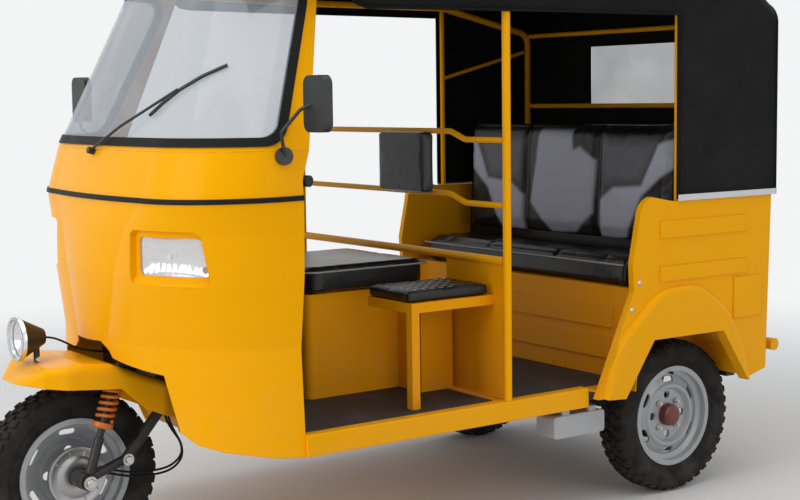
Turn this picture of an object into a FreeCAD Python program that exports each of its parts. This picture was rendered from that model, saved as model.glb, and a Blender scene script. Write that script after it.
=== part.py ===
import FreeCAD, Part
import Sketcher
import math
import os
from types import SimpleNamespace
from FreeCAD import Placement, Rotation, Vector

# Auto rickshaw: a three-wheeled passenger vehicle with an open, canopied cabin.
# Millimetres. +Z is up, the vehicle faces -Y, +X is its left side.
# The origin is on the ground below the middle of its bounding box.

# Driving sizes: name, value, what it is
SIZES = (
    ("wheelbase", 1908, "front axle to rear axle"),
    ("front_axle_y", -1061, "front axle, measured from the origin"),
    ("track_half", 510, "rear wheel's centre plane from the middle"),
    ("tyre_radius", 256, "outer radius of a tyre"),
    ("tyre_width", 124, "widest part of a tyre"),
    ("tyre_wall", 9, "thickness of the tyre's carcass"),
    ("lug_depth", 5, "height of a tread block"),
    ("lug_gap", 14, "groove between two tread blocks"),
    ("rim_radius", 168, "radius of the rim's flange"),
    ("rim_width", 92, "width over the rim's flanges"),
    ("rim_depth", 17, "how far the rim's well lies below the flange"),
    ("rim_gauge", 4, "steel of rim and disc"),
    ("hub_radius", 60, "flat middle of the wheel disc"),
    ("stud_circle", 57, "radius of the circle of wheel studs"),
    ("stud_hole", 6.25, "radius of a stud's hole"),
    ("vent_circle", 67, "radius of the circle of round holes in the disc"),
    ("vent_hole", 13, "radius of a round hole in the disc"),
    ("slot_circle", 120, "radius of the circle of slots in the disc"),
    ("slot_radius", 9, "half width of a slot in the disc"),
    ("slot_reach", 16, "straight half length of a slot in the disc"),
    ("axle_radius", 15, "stub axle"),
    ("axle_fit", 0.05, "radial running clearance of a wheel on its axle"),
    ("drum_radius", 92, "brake drum"),
    ("rake", 26, "steering axis from upright, in degrees"),
    ("trail", 60, "axis meets the ground this far ahead of the axle"),
    ("cowl_half_width", 600, "half width of the front body"),
    ("cowl_gauge", 4, "wall of the front body"),
    ("cowl_back_y", -613, "rear edge of the front body"),
    ("sill_bottom", 347, "underside of the sills"),
    ("sill_top", 410, "top of the sills"),
    ("sill_outer", 598, "outer face of a sill from the middle"),
    ("sill_inner", 562, "inner face of a sill from the middle"),
    ("belt_height", 1190, "where the windscreen frame stands on the front body"),
    ("header_height", 1706, "top of the windscreen frame"),
    ("floor_top", 404, "top of the floor pan"),
    ("floor_gauge", 4, "floor pan"),
    ("mat_gauge", 8, "rubber mat"),
    ("rail_half", 300, "chassis rail from the middle"),
    ("rail_width", 40, "chassis rail across"),
    ("rail_height", 56, "chassis rail upright"),
    ("tube_radius", 12.5, "cabin frame tube"),
    ("bow_radius", 11.5, "tube of the bows under the canopy"),
    ("bar_radius", 9, "thin bars in the cabin"),
    ("partition_y", 107, "plane of the partition behind the driver"),
    ("pillar_x", 584, "middle pillar from the middle"),
    ("cant_height", 1672, "side rails of the roof"),
    ("hoop_height", 1574, "upper rear corners of the hoop"),
    ("rear_pillar_x", 626, "rear pillar and hoop from the middle"),
    ("canopy_half_width", 644, "outside of the canopy"),
    ("canopy_side_y", 769, "front edge of the canopy's side"),
    ("canopy_back_y", 1243, "outside of the canopy's rear"),
    ("canopy_hem", 991, "lower edge of the canopy's sides"),
    ("valance", 1580.5, "lower edge of the canopy over the left doors"),
    ("right_valance", 1636.2, "lower edge of the canopy over the right doors"),
    ("brim", 1671.5, "lower edge of the canopy over the windscreen"),
    ("canopy_gauge", 3, "canopy cloth"),
    ("seam", 0.3, "clearance between two pieces that touch"),
    ("body_half_width", 640, "outer face of a rear side panel"),
    ("body_wall", 22, "rear side panel with its inner skin"),
    ("body_back_y", 1224, "outside of the rear panel"),
    ("body_top", 985, "upper edge of the rear side panels"),
    ("body_bottom", 378, "lower edge of the rear body"),
    ("flare", 20, "how far a wheel arch stands out"),
    ("bench_front_y", 600, "foot of the bench's front panel"),
    ("bench_height", 704, "seat board of the bench"),
    ("bench_half_width", 560, "bench cushions from the middle"),
    ("driver_half_width", 250, "driver's cushion from the middle"),
    ("driver_seat_height", 735, "top of the driver's seat box"),
    ("bumper_radius", 21, "rear bumper tube"),
    ("bumper_height", 455, "rear bumper"),
    ("bumper_half", 590, "bumper tube without its caps"),
    ("lid_half_width", 330, "rear lid from the middle"),
    ("lid_bottom", 508, "lower edge of the rear lid"),
    ("lid_top", 916, "upper edge of the rear lid"),
    ("lid_gauge", 12, "rear lid with its inner skin"),
    ("lid_gap", 5, "gap round the rear lid"),
    ("board_gauge", 12, "board over the engine behind the bench"),
    ("hinge_barrel", 6, "outside of the lid's hinge barrels"),
    ("hinge_pin", 3, "hinge pin"),
    ("hinge_fit", 0.05, "radial running clearance on the hinge pin"),
    ("hinge_rise", 8, "hinge pin above the lid's upper edge"),
    ("damper_inset", 65, "rear damper outside its chassis rail's middle"),
    ("spring_inner", 20, "inside of a rear spring"),
    ("spring_wire", 5, "wire of the springs"),
    ("engine_half", 170, "side of the engine from the middle"),
    ("engine_bottom", 232, "underside of the engine"),
    ("engine_top", 580, "top of the engine"),
    ("lamp_radius", 62, "lamp on the front mudguard"),
    ("fender_half", 165, "front mudguard from its middle"),
    ("fender_gauge", 3, "sheet of the front mudguard"),
    ("strut_x", 130, "front spring from the middle"),
    ("neck_radius", 33, "steering head, outside"),
    ("stem_radius", 24, "steering stem"),
    ("stem_fit", 0.05, "radial running clearance of the stem"),
    ("mirror_inner", 633, "inner edge of a mirror"),
    ("mirror_outer", 741, "outer edge of a mirror"),
    ("cable_radius", 3.5, "brake cable"),
    ("lead_radius", 3, "lead of the mudguard lamp"),
)


class Size:
    """A number together with the formula that gives it in the sheet."""

    def __init__(self, value, formula):
        self.value = float(value)
        self.formula = formula

    def __float__(self):
        return self.value

    def __add__(self, other):
        return Size(self.value + float(other), f"({self.formula} + {formula(other)})")

    def __radd__(self, other):
        return Size(float(other) + self.value, f"({formula(other)} + {self.formula})")

    def __sub__(self, other):
        return Size(self.value - float(other), f"({self.formula} - {formula(other)})")

    def __rsub__(self, other):
        return Size(float(other) - self.value, f"({formula(other)} - {self.formula})")

    def __mul__(self, other):
        return Size(self.value * float(other), f"({self.formula} * {formula(other)})")

    def __rmul__(self, other):
        return Size(float(other) * self.value, f"({formula(other)} * {self.formula})")

    def __truediv__(self, other):
        return Size(self.value / float(other), f"({self.formula} / {formula(other)})")

    def __neg__(self):
        return Size(-self.value, f"(0 - {self.formula})")


def formula(number):
    """The sheet formula of a Size, or a plain number's digits."""
    return number.formula if isinstance(number, Size) else f"({float(number):.6f})"


doc = FreeCAD.newDocument("AutoRickshaw")
sheet = doc.addObject("Spreadsheet::Sheet", "Sizes")
for row, (alias, value, meaning) in enumerate(SIZES, start=1):
    sheet.set(f"A{row}", meaning)
    sheet.set(f"B{row}", str(value))
    sheet.setAlias(f"B{row}", alias)
doc.recompute()
s = SimpleNamespace(**{alias: Size(sheet.get(alias), f"Sizes.{alias}") for alias, _, _ in SIZES})

# Places that follow from the driving sizes
rear_axle_y = s.front_axle_y + s.wheelbase
axle_z = s.tyre_radius
mat_top = s.floor_top + s.mat_gauge
damper_y = rear_axle_y - 60
damper_top = s.floor_top + 176
engine_front = rear_axle_y - 40
engine_back = rear_axle_y + 250
sill_back = rear_axle_y - 423
wall_inner = s.body_half_width - s.body_wall

parts = {}


def keep(label, thing):
    """Give an object its name and put it on the list of sub-parts."""
    thing.Label = label
    parts[label] = thing
    return thing


def bind(thing, prop, number):
    """Bind a property to the sheet, or set it where it is a plain number."""
    thing.setExpression(prop, formula(number))


# Sketches and solids

def origin_plane(body, role):
    return [part for part in body.Origin.OriginFeatures if part.Role == role][0]


def arc_between(start, end, radius):
    """Short arc from start to end; a positive radius turns left on the way."""
    chord = end - start
    middle = (start + end) * 0.5
    left = Vector(-chord.y, chord.x, 0).normalize()
    rise = math.sqrt(max(radius * radius - chord.Length ** 2 / 4, 0.0))
    centre = middle + left * math.copysign(rise, radius)
    first, last = (start, end) if radius > 0 else (end, start)
    circle = Part.Circle(centre, Vector(0, 0, 1), abs(radius))
    return Part.ArcOfCircle(circle, circle.parameter(first), circle.parameter(last))


def sketch(body, plane, outline, level):
    """Closed outline of (across, up) or (across, up, arc radius to the next point)."""
    drawing = body.newObject("Sketcher::SketchObject", "Outline")
    drawing.AttachmentSupport = [(origin_plane(body, plane), "")]
    drawing.MapMode = "FlatFace"
    bind(drawing, "AttachmentOffset.Base.z", level)
    corners = [Vector(float(point[0]), float(point[1]), 0) for point in outline]
    ends = []
    for index, point in enumerate(outline):
        here = corners[index]
        there = corners[(index + 1) % len(corners)]
        if len(point) == 3:
            drawing.addGeometry(arc_between(here, there, float(point[2])), False)
            ends.append((1, 2) if float(point[2]) > 0 else (2, 1))
        else:
            drawing.addGeometry(Part.LineSegment(here, there), False)
            ends.append((1, 2))
    for index, point in enumerate(outline):
        following = (index + 1) % len(outline)
        drawing.addConstraint(
            Sketcher.Constraint("Coincident", index, ends[index][1], following, ends[following][0]))
    for index, point in enumerate(outline):
        for kind, number in (("DistanceX", point[0]), ("DistanceY", point[1])):
            at = drawing.addConstraint(
                Sketcher.Constraint(kind, -1, 1, index, ends[index][0], float(number)))
            bind(drawing, f"Constraints[{at}]", number)
        if len(point) == 3:
            at = drawing.addConstraint(Sketcher.Constraint("Radius", index, abs(float(point[2]))))
            bind(drawing, f"Constraints[{at}]", point[2] if float(point[2]) > 0 else -1 * point[2])
    return drawing


# Direction in which a pad on each plane grows, along its world axis
GROWTH = {"XY_Plane": 1, "XZ_Plane": -1, "YZ_Plane": 1}


def pad(body, plane, outline, low, high):
    """Extrude an outline from low to high along the plane's world axis."""
    level = low if GROWTH[plane] > 0 else -1 * high
    drawing = sketch(body, plane, outline, level)
    solid = body.newObject("PartDesign::Pad", "Pad")
    solid.Profile = drawing
    bind(solid, "Length", high - low)
    doc.recompute()
    return solid


def pocket(body, plane, outline, low, high):
    """Cut an outline out from low to high along the plane's world axis."""
    level = high if GROWTH[plane] > 0 else -1 * low
    drawing = sketch(body, plane, outline, level)
    hole = body.newObject("PartDesign::Pocket", "Pocket")
    hole.Profile = drawing
    bind(hole, "Length", high - low)
    doc.recompute()
    return hole


def new_body(label):
    body = doc.addObject("PartDesign::Body", label)
    body.Label = label + "_body"
    return body


def panel(label, plane, outline, low, high):
    body = new_body(label)
    pad(body, plane, outline, low, high)
    return body


def rounded(body, chosen, radius):
    """Fillet the edges of a body for which chosen(edge) is true."""
    names = [f"Edge{i}" for i, edge in enumerate(body.Shape.Edges, start=1) if chosen(edge)]
    base = body.Tip
    fillet = body.newObject("PartDesign::Fillet", "Rounding")
    fillet.Base = (base, names)
    bind(fillet, "Radius", radius)
    doc.recompute()
    return body


def along(axis):
    """Chooser for straight edges along one axis."""
    def chosen(edge):
        if not isinstance(edge.Curve, Part.Line):
            return False
        return abs(edge.Curve.Direction.dot(axis)) > 0.999
    return chosen


X, Y, Z = Vector(1, 0, 0), Vector(0, 1, 0), Vector(0, 0, 1)
TURN_TO = {"x": Rotation(Z, X), "y": Rotation(Z, Y), "z": Rotation()}


def place(thing, x, y, z):
    for letter, number in zip("xyz", (x, y, z)):
        bind(thing, f"Placement.Base.{letter}", number)


def rod(axis, x, y, z, radius, length):
    """Cylinder from a point along +X, +Y or +Z."""
    solid = doc.addObject("Part::Cylinder", "Rod")
    bind(solid, "Radius", radius)
    bind(solid, "Height", length)
    solid.Placement = Placement(Vector(), TURN_TO[axis])
    place(solid, x, y, z)
    return solid


def block(x, y, z):
    """Box given by the pairs of its low and high sides."""
    solid = doc.addObject("Part::Box", "Block")
    bind(solid, "Length", x[1] - x[0])
    bind(solid, "Width", y[1] - y[0])
    bind(solid, "Height", z[1] - z[0])
    place(solid, x[0], y[0], z[0])
    return solid


def fused(things):
    solid = doc.addObject("Part::MultiFuse", "Joined")
    solid.Shapes = things
    return solid


def cut(base, tool):
    solid = doc.addObject("Part::Cut", "Cut")
    solid.Base = base
    solid.Tool = tool
    return solid


def together(things):
    group = doc.addObject("Part::Compound", "Group")
    group.Links = things
    return group


def mirrored(thing):
    """The same piece on the other side of the vehicle."""
    twin = doc.addObject("Part::Mirroring", "Twin")
    twin.Source = thing
    twin.Normal = X
    return twin


def both_sides(label, left):
    return keep(label, together([left, mirrored(left)]))


def feature(shape):
    """Object for a shape that is worked out below from the sheet's values."""
    thing = doc.addObject("Part::Feature", "Shaped")
    thing.Shape = shape
    return thing


def point(x, y, z):
    return Vector(float(x), float(y), float(z))


def route(points, bend):
    """Straight runs joined by tangent arcs, as a wire."""
    edges = []
    start = points[0]
    for before, corner, after in zip(points, points[1:], points[2:]):
        arrive = (corner - before).normalize()
        leave = (after - corner).normalize()
        turn = arrive.getAngle(leave)
        step = bend * math.tan(turn / 2)
        first = corner - arrive * step
        last = corner + leave * step
        inward = (leave - arrive).normalize()
        top = corner + inward * (bend / math.cos(turn / 2) - bend)
        edges.append(Part.LineSegment(start, first).toShape())
        edges.append(Part.Arc(first, top, last).toShape())
        start = last
    edges.append(Part.LineSegment(start, points[-1]).toShape())
    return Part.Wire(edges)


def tube(points, radius, bend=60.0):
    """Round bar along straight runs and arcs."""
    path = route(points, float(bend)) if len(points) > 2 else Part.Wire(
        [Part.LineSegment(points[0], points[1]).toShape()])
    ahead = (points[1] - points[0]).normalize()
    section = Part.Wire([Part.Circle(points[0], ahead, float(radius)).toShape()])
    return path.makePipeShell([section], True, False)


def prism(axis, outline, low, high):
    """Straight-sided solid across the vehicle (x), along it (y) or upwards (z)."""
    lift = {"x": lambda u, v: point(low, u, v),
            "y": lambda u, v: point(u, low, v),
            "z": lambda u, v: point(u, v, low)}[axis]
    corners = [lift(u, v) for u, v in outline]
    face = Part.Face(Part.makePolygon(corners + corners[:1]))
    reach = float(high) - float(low)
    return face.extrude({"x": X, "y": Y, "z": Z}[axis] * reach)


def profile_prism(outline, low, high):
    """Prism along X from a side outline whose points may carry a corner radius."""
    corners = [Vector(float(low), float(p[0]), float(p[1])) for p in outline]
    count = len(corners)
    edges = []
    starts = []
    stops = []
    for index, entry in enumerate(outline):
        corner = corners[index]
        arrive = (corner - corners[index - 1]).normalize()
        leave = (corners[(index + 1) % count] - corner).normalize()
        radius = float(entry[2]) if len(entry) == 3 else 0.0
        turn = arrive.getAngle(leave)
        step = radius * math.tan(turn / 2)
        first = corner - arrive * step
        last = corner + leave * step
        starts.append(first)
        stops.append(last)
        if radius > 0:
            inward = (leave - arrive).normalize()
            top = corner + inward * (radius / math.cos(turn / 2) - radius)
            edges.append(Part.Arc(first, top, last).toShape())
        else:
            edges.append(None)
    loop = []
    for index in range(count):
        if edges[index] is not None:
            loop.append(edges[index])
        loop.append(Part.LineSegment(stops[index], starts[(index + 1) % count]).toShape())
    return Part.Face(Part.Wire(loop)).extrude(X * (float(high) - float(low)))


# Front body: a shell lofted through flat sections

# height, half width, front of the corners, crown of the nose, corner radius
NOSE_SECTIONS = (
    (float(s.sill_bottom) - 7, -4, -968, 10, 447),
    (650, -15, -975, 26, 480),
    (850, 0, -979, 24, 430),
    (965, 0, -969, 22, 385),
    (1055, 0, -953, 20, 300),
    (float(s.belt_height), -13, -915, 18, 290),
)
SCREEN_SECTIONS = (
    (float(s.belt_height), -13, -915, 18, 290),
    (float(s.header_height), -179.7, -696.1, 14.6, 233.3),
)
SHELL_BACK_Y = -400.0


def section(height, narrowing, corner_y, crown, radius, inset):
    """Horizontal outline of the nose: two sides, two round corners, a crowned front."""
    half = float(s.cowl_half_width) + narrowing
    side = half - inset
    front = corner_y + inset
    centre_x = half - radius
    centre_y = corner_y + radius
    round_radius = radius - inset
    slant = round_radius * math.sqrt(0.5)
    left_back = Vector(side, SHELL_BACK_Y, height)
    left_side = Vector(side, centre_y, height)
    left_mid = Vector(centre_x + slant, centre_y - slant, height)
    left_front = Vector(centre_x, front, height)
    nose = Vector(0, front - crown, height)
    right_front = Vector(-centre_x, front, height)
    right_mid = Vector(-centre_x - slant, centre_y - slant, height)
    right_side = Vector(-side, centre_y, height)
    right_back = Vector(-side, SHELL_BACK_Y, height)
    return Part.Wire([
        Part.LineSegment(left_back, left_side).toShape(),
        Part.Arc(left_side, left_mid, left_front).toShape(),
        Part.Arc(left_front, nose, right_front).toShape(),
        Part.Arc(right_front, right_mid, right_side).toShape(),
        Part.LineSegment(right_side, right_back).toShape(),
        Part.LineSegment(right_back, left_back).toShape(),
    ])


def lofted(sections, inset):
    return Part.makeLoft([section(*row, float(inset)) for row in sections], True, True)


def skin(sections, outer, inner):
    """Wall between two insets of the same loft."""
    return lofted(sections, outer).cut(lofted(sections, inner))


# Side view of the screen: (y, z) of the window's corners, then of the pillar's rear edge
APERTURE = ((-1300, 1203), (-661, 1203, 84), (-474.5, 1668, 60), (-1300, 1668))
SEAL_WIDTH = 24.0
PILLAR_BACK = ((float(s.cowl_back_y), 1110), (-586, float(s.belt_height)), (-457, 1645))


def inner_aperture(margin):
    """The window's outline moved in by a margin."""
    slope = (APERTURE[2][0] - APERTURE[1][0]) / (APERTURE[2][1] - APERTURE[1][1])
    lower = APERTURE[1][1] + margin
    upper = APERTURE[2][1] - margin
    shift = margin * math.hypot(1, slope)
    lower_y = APERTURE[1][0] + slope * margin - shift
    upper_y = APERTURE[2][0] - slope * margin - shift
    return (
        (APERTURE[0][0], lower),
        (lower_y, lower, APERTURE[1][2] - margin),
        (upper_y, upper, APERTURE[2][2] - margin),
        (APERTURE[0][0], upper),
    )


WIDE = 900.0


def behind_cowl(top):
    """Everything behind the rear edge of the front body and of the windscreen pillars."""
    edge = (
        (float(s.cowl_back_y), 200),
        PILLAR_BACK[0],
        PILLAR_BACK[1],
        PILLAR_BACK[2],
        (-420, top),
        (SHELL_BACK_Y + 50, top),
        (SHELL_BACK_Y + 50, 200),
    )
    return prism("x", edge, -WIDE, WIDE)


# Front view of the wheel arch's upper edge: (x, z), left half from the middle outwards
ARCH_EDGE = ((80, 646), (132, 602), (340, 575), (388, 421), (437, 384))
# Side view of the front body's lower edge: (y, z) from the arch backwards
HEM_EDGE = ((-901, 421), (-862, 387), (-813, 371), (-757, 362), (-685, 350), (-613, 347))

# Headlamp in front view, (x, z): the recess's mouth, then the lens in it
LAMP_MOUTH = ((258, 826), (484, 826), (478, 977), (258, 977))
LAMP_BED = ((276, 852), (470, 852), (464, 958), (276, 958))
LAMP_BEZEL = 18.0
LAMP_FLOOR = 42.0


def lamp_outline(outline, margin):
    """A lamp's outline moved out by a margin."""
    (left, low), (right, _), (right_top, high), _ = outline
    return ((left - margin, low - margin), (right + margin, low - margin),
            (right_top + margin, high + margin), (left - margin, high + margin))


def lamp_prism(side, outline, radius):
    """Outline with round corners, carried through the nose."""
    shape = prism("y", [(side * x, z) for x, z in outline], -1200, -780)
    return shape.makeFillet(radius, [edge for edge in shape.Edges if along(Y)(edge)])


def front_cowl():
    shell = skin(NOSE_SECTIONS, 0, s.cowl_gauge)
    arch = list(ARCH_EDGE) + [(437, 250), (-437, 250)] + [(-x, z) for x, z in reversed(ARCH_EDGE)]
    shell = shell.cut(prism("y", arch, -1400, -780))
    hem = list(HEM_EDGE) + [(-350, 347), (-350, 250), (-1400, 250), (-1400, 421)]
    shell = shell.cut(prism("x", hem, -WIDE, WIDE))
    shell = shell.cut(behind_cowl(1300))
    solid = lofted(NOSE_SECTIONS, 0)
    inner = lofted(NOSE_SECTIONS, LAMP_FLOOR)
    bezel = skin(NOSE_SECTIONS, LAMP_BEZEL, LAMP_BEZEL + float(s.cowl_gauge))
    for side in (1, -1):
        mouth = lamp_prism(side, LAMP_MOUTH, 20)
        rim = lamp_prism(side, lamp_outline(LAMP_MOUTH, float(s.cowl_gauge)), 24)
        walls = rim.cut(mouth).common(solid).cut(inner)
        plate = bezel.common(mouth).cut(lamp_prism(side, LAMP_BED, 14))
        shell = shell.cut(mouth).fuse([walls, plate])
    keep("front_cowl", feature(shell.removeSplitter()))


def headlamps():
    """Reflectors against the backs of the bezels, lenses flush in them."""
    seat = LAMP_BEZEL + float(s.cowl_gauge) + float(s.seam)
    depth = skin(NOSE_SECTIONS, seat, LAMP_FLOOR)
    reflectors = [depth.common(lamp_prism(side, lamp_outline(LAMP_BED, 6), 20)) for side in (1, -1)]
    keep("headlamp_reflectors", feature(Part.makeCompound(reflectors)))
    pane = skin(NOSE_SECTIONS, LAMP_BEZEL + 1, LAMP_BEZEL + float(s.cowl_gauge))
    lenses = [pane.common(lamp_prism(side, LAMP_BED, 14)) for side in (1, -1)]
    keep("headlamp_lenses", feature(Part.makeCompound(lenses)))


def windscreen():
    frame = skin(SCREEN_SECTIONS, 0, s.cowl_gauge)
    frame = frame.cut(behind_cowl(1800))
    opening = profile_prism(APERTURE, -WIDE, WIDE)
    keep("windscreen_frame", feature(frame.cut(opening)))
    glass_edge = profile_prism(inner_aperture(SEAL_WIDTH), -WIDE, WIDE)
    seal = skin(SCREEN_SECTIONS, -5, s.cowl_gauge + 5).common(opening).cut(glass_edge)
    keep("windscreen_seal", feature(seal))
    glass = skin(SCREEN_SECTIONS, 0, 5).common(glass_edge)
    keep("windscreen_glass", feature(glass))


def cowl_strip():
    """Black trim strip round the nose."""
    band = skin(NOSE_SECTIONS, -4, 0)
    edge = prism("x", ((-1300, 1046), (-613, 1056), (-613, 1070), (-1300, 1060)), -WIDE, WIDE)
    keep("cowl_strip", feature(band.common(edge)))


def dashboard():
    """Shelf and instrument panel inside the nose, with a round dial."""
    inside = lofted(NOSE_SECTIONS, s.cowl_gauge)
    shelf = profile_prism(
        ((-960, 1098), (-790, 1098, 20), (-742, 1020, 20), (-742, 900), (-748, 900),
         (-748, 1016, 16), (-794, 1092, 16), (-960, 1092)), -WIDE, WIDE)
    shelf = inside.common(shelf)
    dial = Part.makeCylinder(46, 20, Vector(0, -778, 1062), Vector(0, 0.85, 0.53))
    keep("dashboard", feature(shelf.fuse(dial).removeSplitter()))


# Bulkhead between the front wheel and the cabin: (y, z) of its front face, from the floor up
BULKHEAD = ((-700, 404), (-715, 540), (-792, 655), (-1060, 676))


def axis_point(height):
    """Point of the steering axis at a height."""
    lean = math.tan(math.radians(float(s.rake)))
    return Vector(0, float(s.front_axle_y) - float(s.trail) + lean * height, height)


STEER_UP = (axis_point(1000) - axis_point(0)).normalize()


def on_axis(height, radius, top):
    """Cylinder round the steering axis between two heights."""
    base = axis_point(height)
    reach = (axis_point(top) - base).Length
    return Part.makeCylinder(float(radius), reach, base, STEER_UP)


DOWN_TUBE = 26.0
NECK_LOW = 632.0
NECK_TOP = 772.0


def bulkhead():
    inside = lofted(NOSE_SECTIONS, s.cowl_gauge)
    gauge = 3.0
    near = list(BULKHEAD)
    far = [(y + gauge, z + gauge) for y, z in reversed(BULKHEAD)]
    far[-1] = (near[0][0] + gauge, near[0][1])
    sheet_metal = inside.common(prism("x", near + far, -WIDE, WIDE))
    sheet_metal = sheet_metal.cut(on_axis(580, s.neck_radius + 1, 760))
    keep("bulkhead", feature(sheet_metal))


def chassis():
    """Two rails, cross members and the tube that carries the steering head."""
    top = s.floor_top - s.floor_gauge
    rails = []
    for side in (1, -1):
        low = side * s.rail_half - s.rail_width / 2
        rails.append(block((low, low + s.rail_width), (s.cowl_back_y + 13, rear_axle_y + 340),
                           (top - s.rail_height, top)))
        # tower over the rear axle that takes the top of the damper
        outer = side * (s.rail_half + s.rail_width / 2)
        near, far = (outer, outer + 14) if side > 0 else (outer - 14, outer)
        rails.append(block((near, far), (damper_y - 24, damper_y + 24), (top - s.rail_height, damper_top + 8)))
        near, far = (outer, outer + 76) if side > 0 else (outer - 76, outer)
        rails.append(block((near, far), (damper_y - 24, damper_y + 24),
                           (damper_top + s.seam, damper_top + 8)))
    # y of each cross member's front face
    for start in (s.cowl_back_y + 13, s.partition_y - 20, s.bench_front_y - 155):
        rails.append(block((-s.sill_inner, s.sill_inner), (start, start + 40), (top - 40, top)))
    rails.append(block((-s.sill_inner, s.sill_inner), (engine_back + s.seam, engine_back + 40), (top - 40, top)))
    neck = on_axis(NECK_LOW, s.neck_radius, NECK_TOP)
    down = tube([axis_point(705) + Vector(0, 8, 0), point(0, s.cowl_back_y - 53, 560),
                 point(0, s.cowl_back_y - 40, 370), point(0, s.cowl_back_y + 60, 370)], DOWN_TUBE, 60)
    bore = on_axis(NECK_LOW - 20, s.stem_radius + s.stem_fit, NECK_TOP + 20)
    head = feature(neck.fuse(down).cut(bore))
    keep("chassis_frame", fused(rails + [head]))


def floor():
    pan = panel("floor", "XY_Plane", (
        (s.seam - wall_inner, s.bench_front_y), (s.seam - wall_inner, sill_back), (-s.sill_inner, sill_back),
        (-s.sill_inner, s.cowl_back_y), (-470, -697), (470, -697), (s.sill_inner, s.cowl_back_y),
        (s.sill_inner, sill_back), (wall_inner - s.seam, sill_back), (wall_inner - s.seam, s.bench_front_y)),
        s.floor_top - s.floor_gauge, s.floor_top)
    # hole for the tube that comes down from the steering head
    pocket(pan, "XY_Plane", (
        (-DOWN_TUBE - 1, s.cowl_back_y - 42 - DOWN_TUBE - 2), (DOWN_TUBE + 1, s.cowl_back_y - 42 - DOWN_TUBE - 2),
        (DOWN_TUBE + 1, s.cowl_back_y + 2), (-DOWN_TUBE - 1, s.cowl_back_y + 2)),
        s.floor_top - s.floor_gauge - 5, s.floor_top + 5)
    keep("floor_pan", pan)
    front_mat = block((-s.sill_inner + 6, s.sill_inner - 6), (s.cowl_back_y + 6, s.partition_y - 40),
                      (s.floor_top, mat_top))
    rear_mat = block((-s.sill_inner + 6, s.sill_inner - 6), (s.partition_y + 40, s.bench_front_y - 4),
                     (s.floor_top, mat_top))
    keep("floor_mats", together([front_mat, rear_mat]))


def sills():
    sill = panel("sill", "XZ_Plane", (
        (s.sill_inner, s.sill_bottom), (s.sill_outer, s.sill_bottom), (s.sill_outer, s.sill_top),
        (s.sill_inner, s.sill_top)), s.cowl_back_y, sill_back)
    rounded(sill, lambda e: along(Y)(e) and e.CenterOfMass.x > float(s.sill_outer) - 1, 6)
    both_sides("side_sills", sill)


# Cabin frame

# Front end of a roof rail, inside the windscreen's pillar: (x, y)
ROOF_FRONT = (405, -476)
CANOPY_CORNER = 70.0


def canopy_at(y):
    """Half width, shoulder height and crown height of the canopy's outside at a place."""
    for low, high in zip(CANOPY_SECTIONS, CANOPY_SECTIONS[1:]):
        if low[0] <= y <= high[0]:
            share = (y - low[0]) / (high[0] - low[0])
            row = [first + share * (last - first) for first, last in zip(low, high)]
            return float(s.canopy_half_width) + row[1], row[2], row[3]
    raise ValueError("no canopy there")


def bow(y):
    """Bow that carries the canopy, from one roof rail to the other just under the cloth."""
    half, shoulder, crown = canopy_at(y)
    radius = float(s.bow_radius)
    under = float(s.canopy_gauge) + radius + float(s.seam)
    front, middle = ROOF_FRONT, (float(s.pillar_x), float(s.partition_y))
    share = (y - front[1]) / (middle[1] - front[1])
    rail_x = front[0] + share * (middle[0] - front[0]) if y < middle[1] else middle[0]
    if y > middle[1]:
        rail_x = float(s.rear_pillar_x)
    reach = half - CANOPY_CORNER
    knee_x = rail_x / 2
    knee_z = crown - (crown - shoulder) * (knee_x / reach) ** 2 - under - 1
    corner_z = shoulder - under - 17
    rail = Vector(rail_x, y, float(s.cant_height))
    corner = Vector(rail_x - 14, y, corner_z)
    knee = Vector(knee_x, y, knee_z)
    left = [rail, corner, knee]
    right = [Vector(-p.x, p.y, p.z) for p in reversed(left)]
    bend = 0.8 * (corner_z - rail.z)
    return tube(left + right, radius, bend)


def cabin_frame():
    """Pillars, roof rails, bows and the rear hoop, welded from tube."""
    tubes = []
    cant = float(s.cant_height)
    part_y = float(s.partition_y)
    side_y = float(s.canopy_side_y) + 14
    back_y = float(s.canopy_back_y) - 24
    for side in (1, -1):
        front = point(side * ROOF_FRONT[0], ROOF_FRONT[1], cant)
        middle = point(side * s.pillar_x, part_y, cant)
        rear = point(side * s.rear_pillar_x, side_y, cant)
        corner = point(side * s.rear_pillar_x, back_y, s.hoop_height)
        foot = point(side * s.rear_pillar_x, back_y, s.body_top + s.seam)
        tubes.append(tube([front, middle], s.tube_radius))
        tubes.append(tube([middle, rear], s.tube_radius))
        tubes.append(tube([rear, corner, foot], s.tube_radius, 50))
        tubes.append(tube([point(side * s.pillar_x, part_y, s.sill_top), middle], s.tube_radius))
        tubes.append(tube([point(side * s.rear_pillar_x, side_y, s.body_top + s.seam), rear], s.bar_radius))
        brace = point(side * s.rear_pillar_x, side_y, s.hoop_height - 174)
        tubes.append(tube([brace, point(side * s.rear_pillar_x, back_y, s.hoop_height - 64)], s.bar_radius * 0.8))
    for bow_y in (-420, part_y, side_y):
        tubes.append(bow(bow_y))
    for height in (s.hoop_height - 6, s.hoop_height - 287):
        tubes.append(tube([point(-s.rear_pillar_x, back_y, height),
                           point(s.rear_pillar_x, back_y, height)], s.bar_radius))
    welded = tubes[0].fuse(tubes[1:])
    keep("cabin_frame", feature(welded))


# Rails across the cabin: height at the right, height at the left, radius
PARTITION_BARS = ((1222, 1197, 9), (1026, 1001, 9), (834, 834, 12.5))


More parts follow.
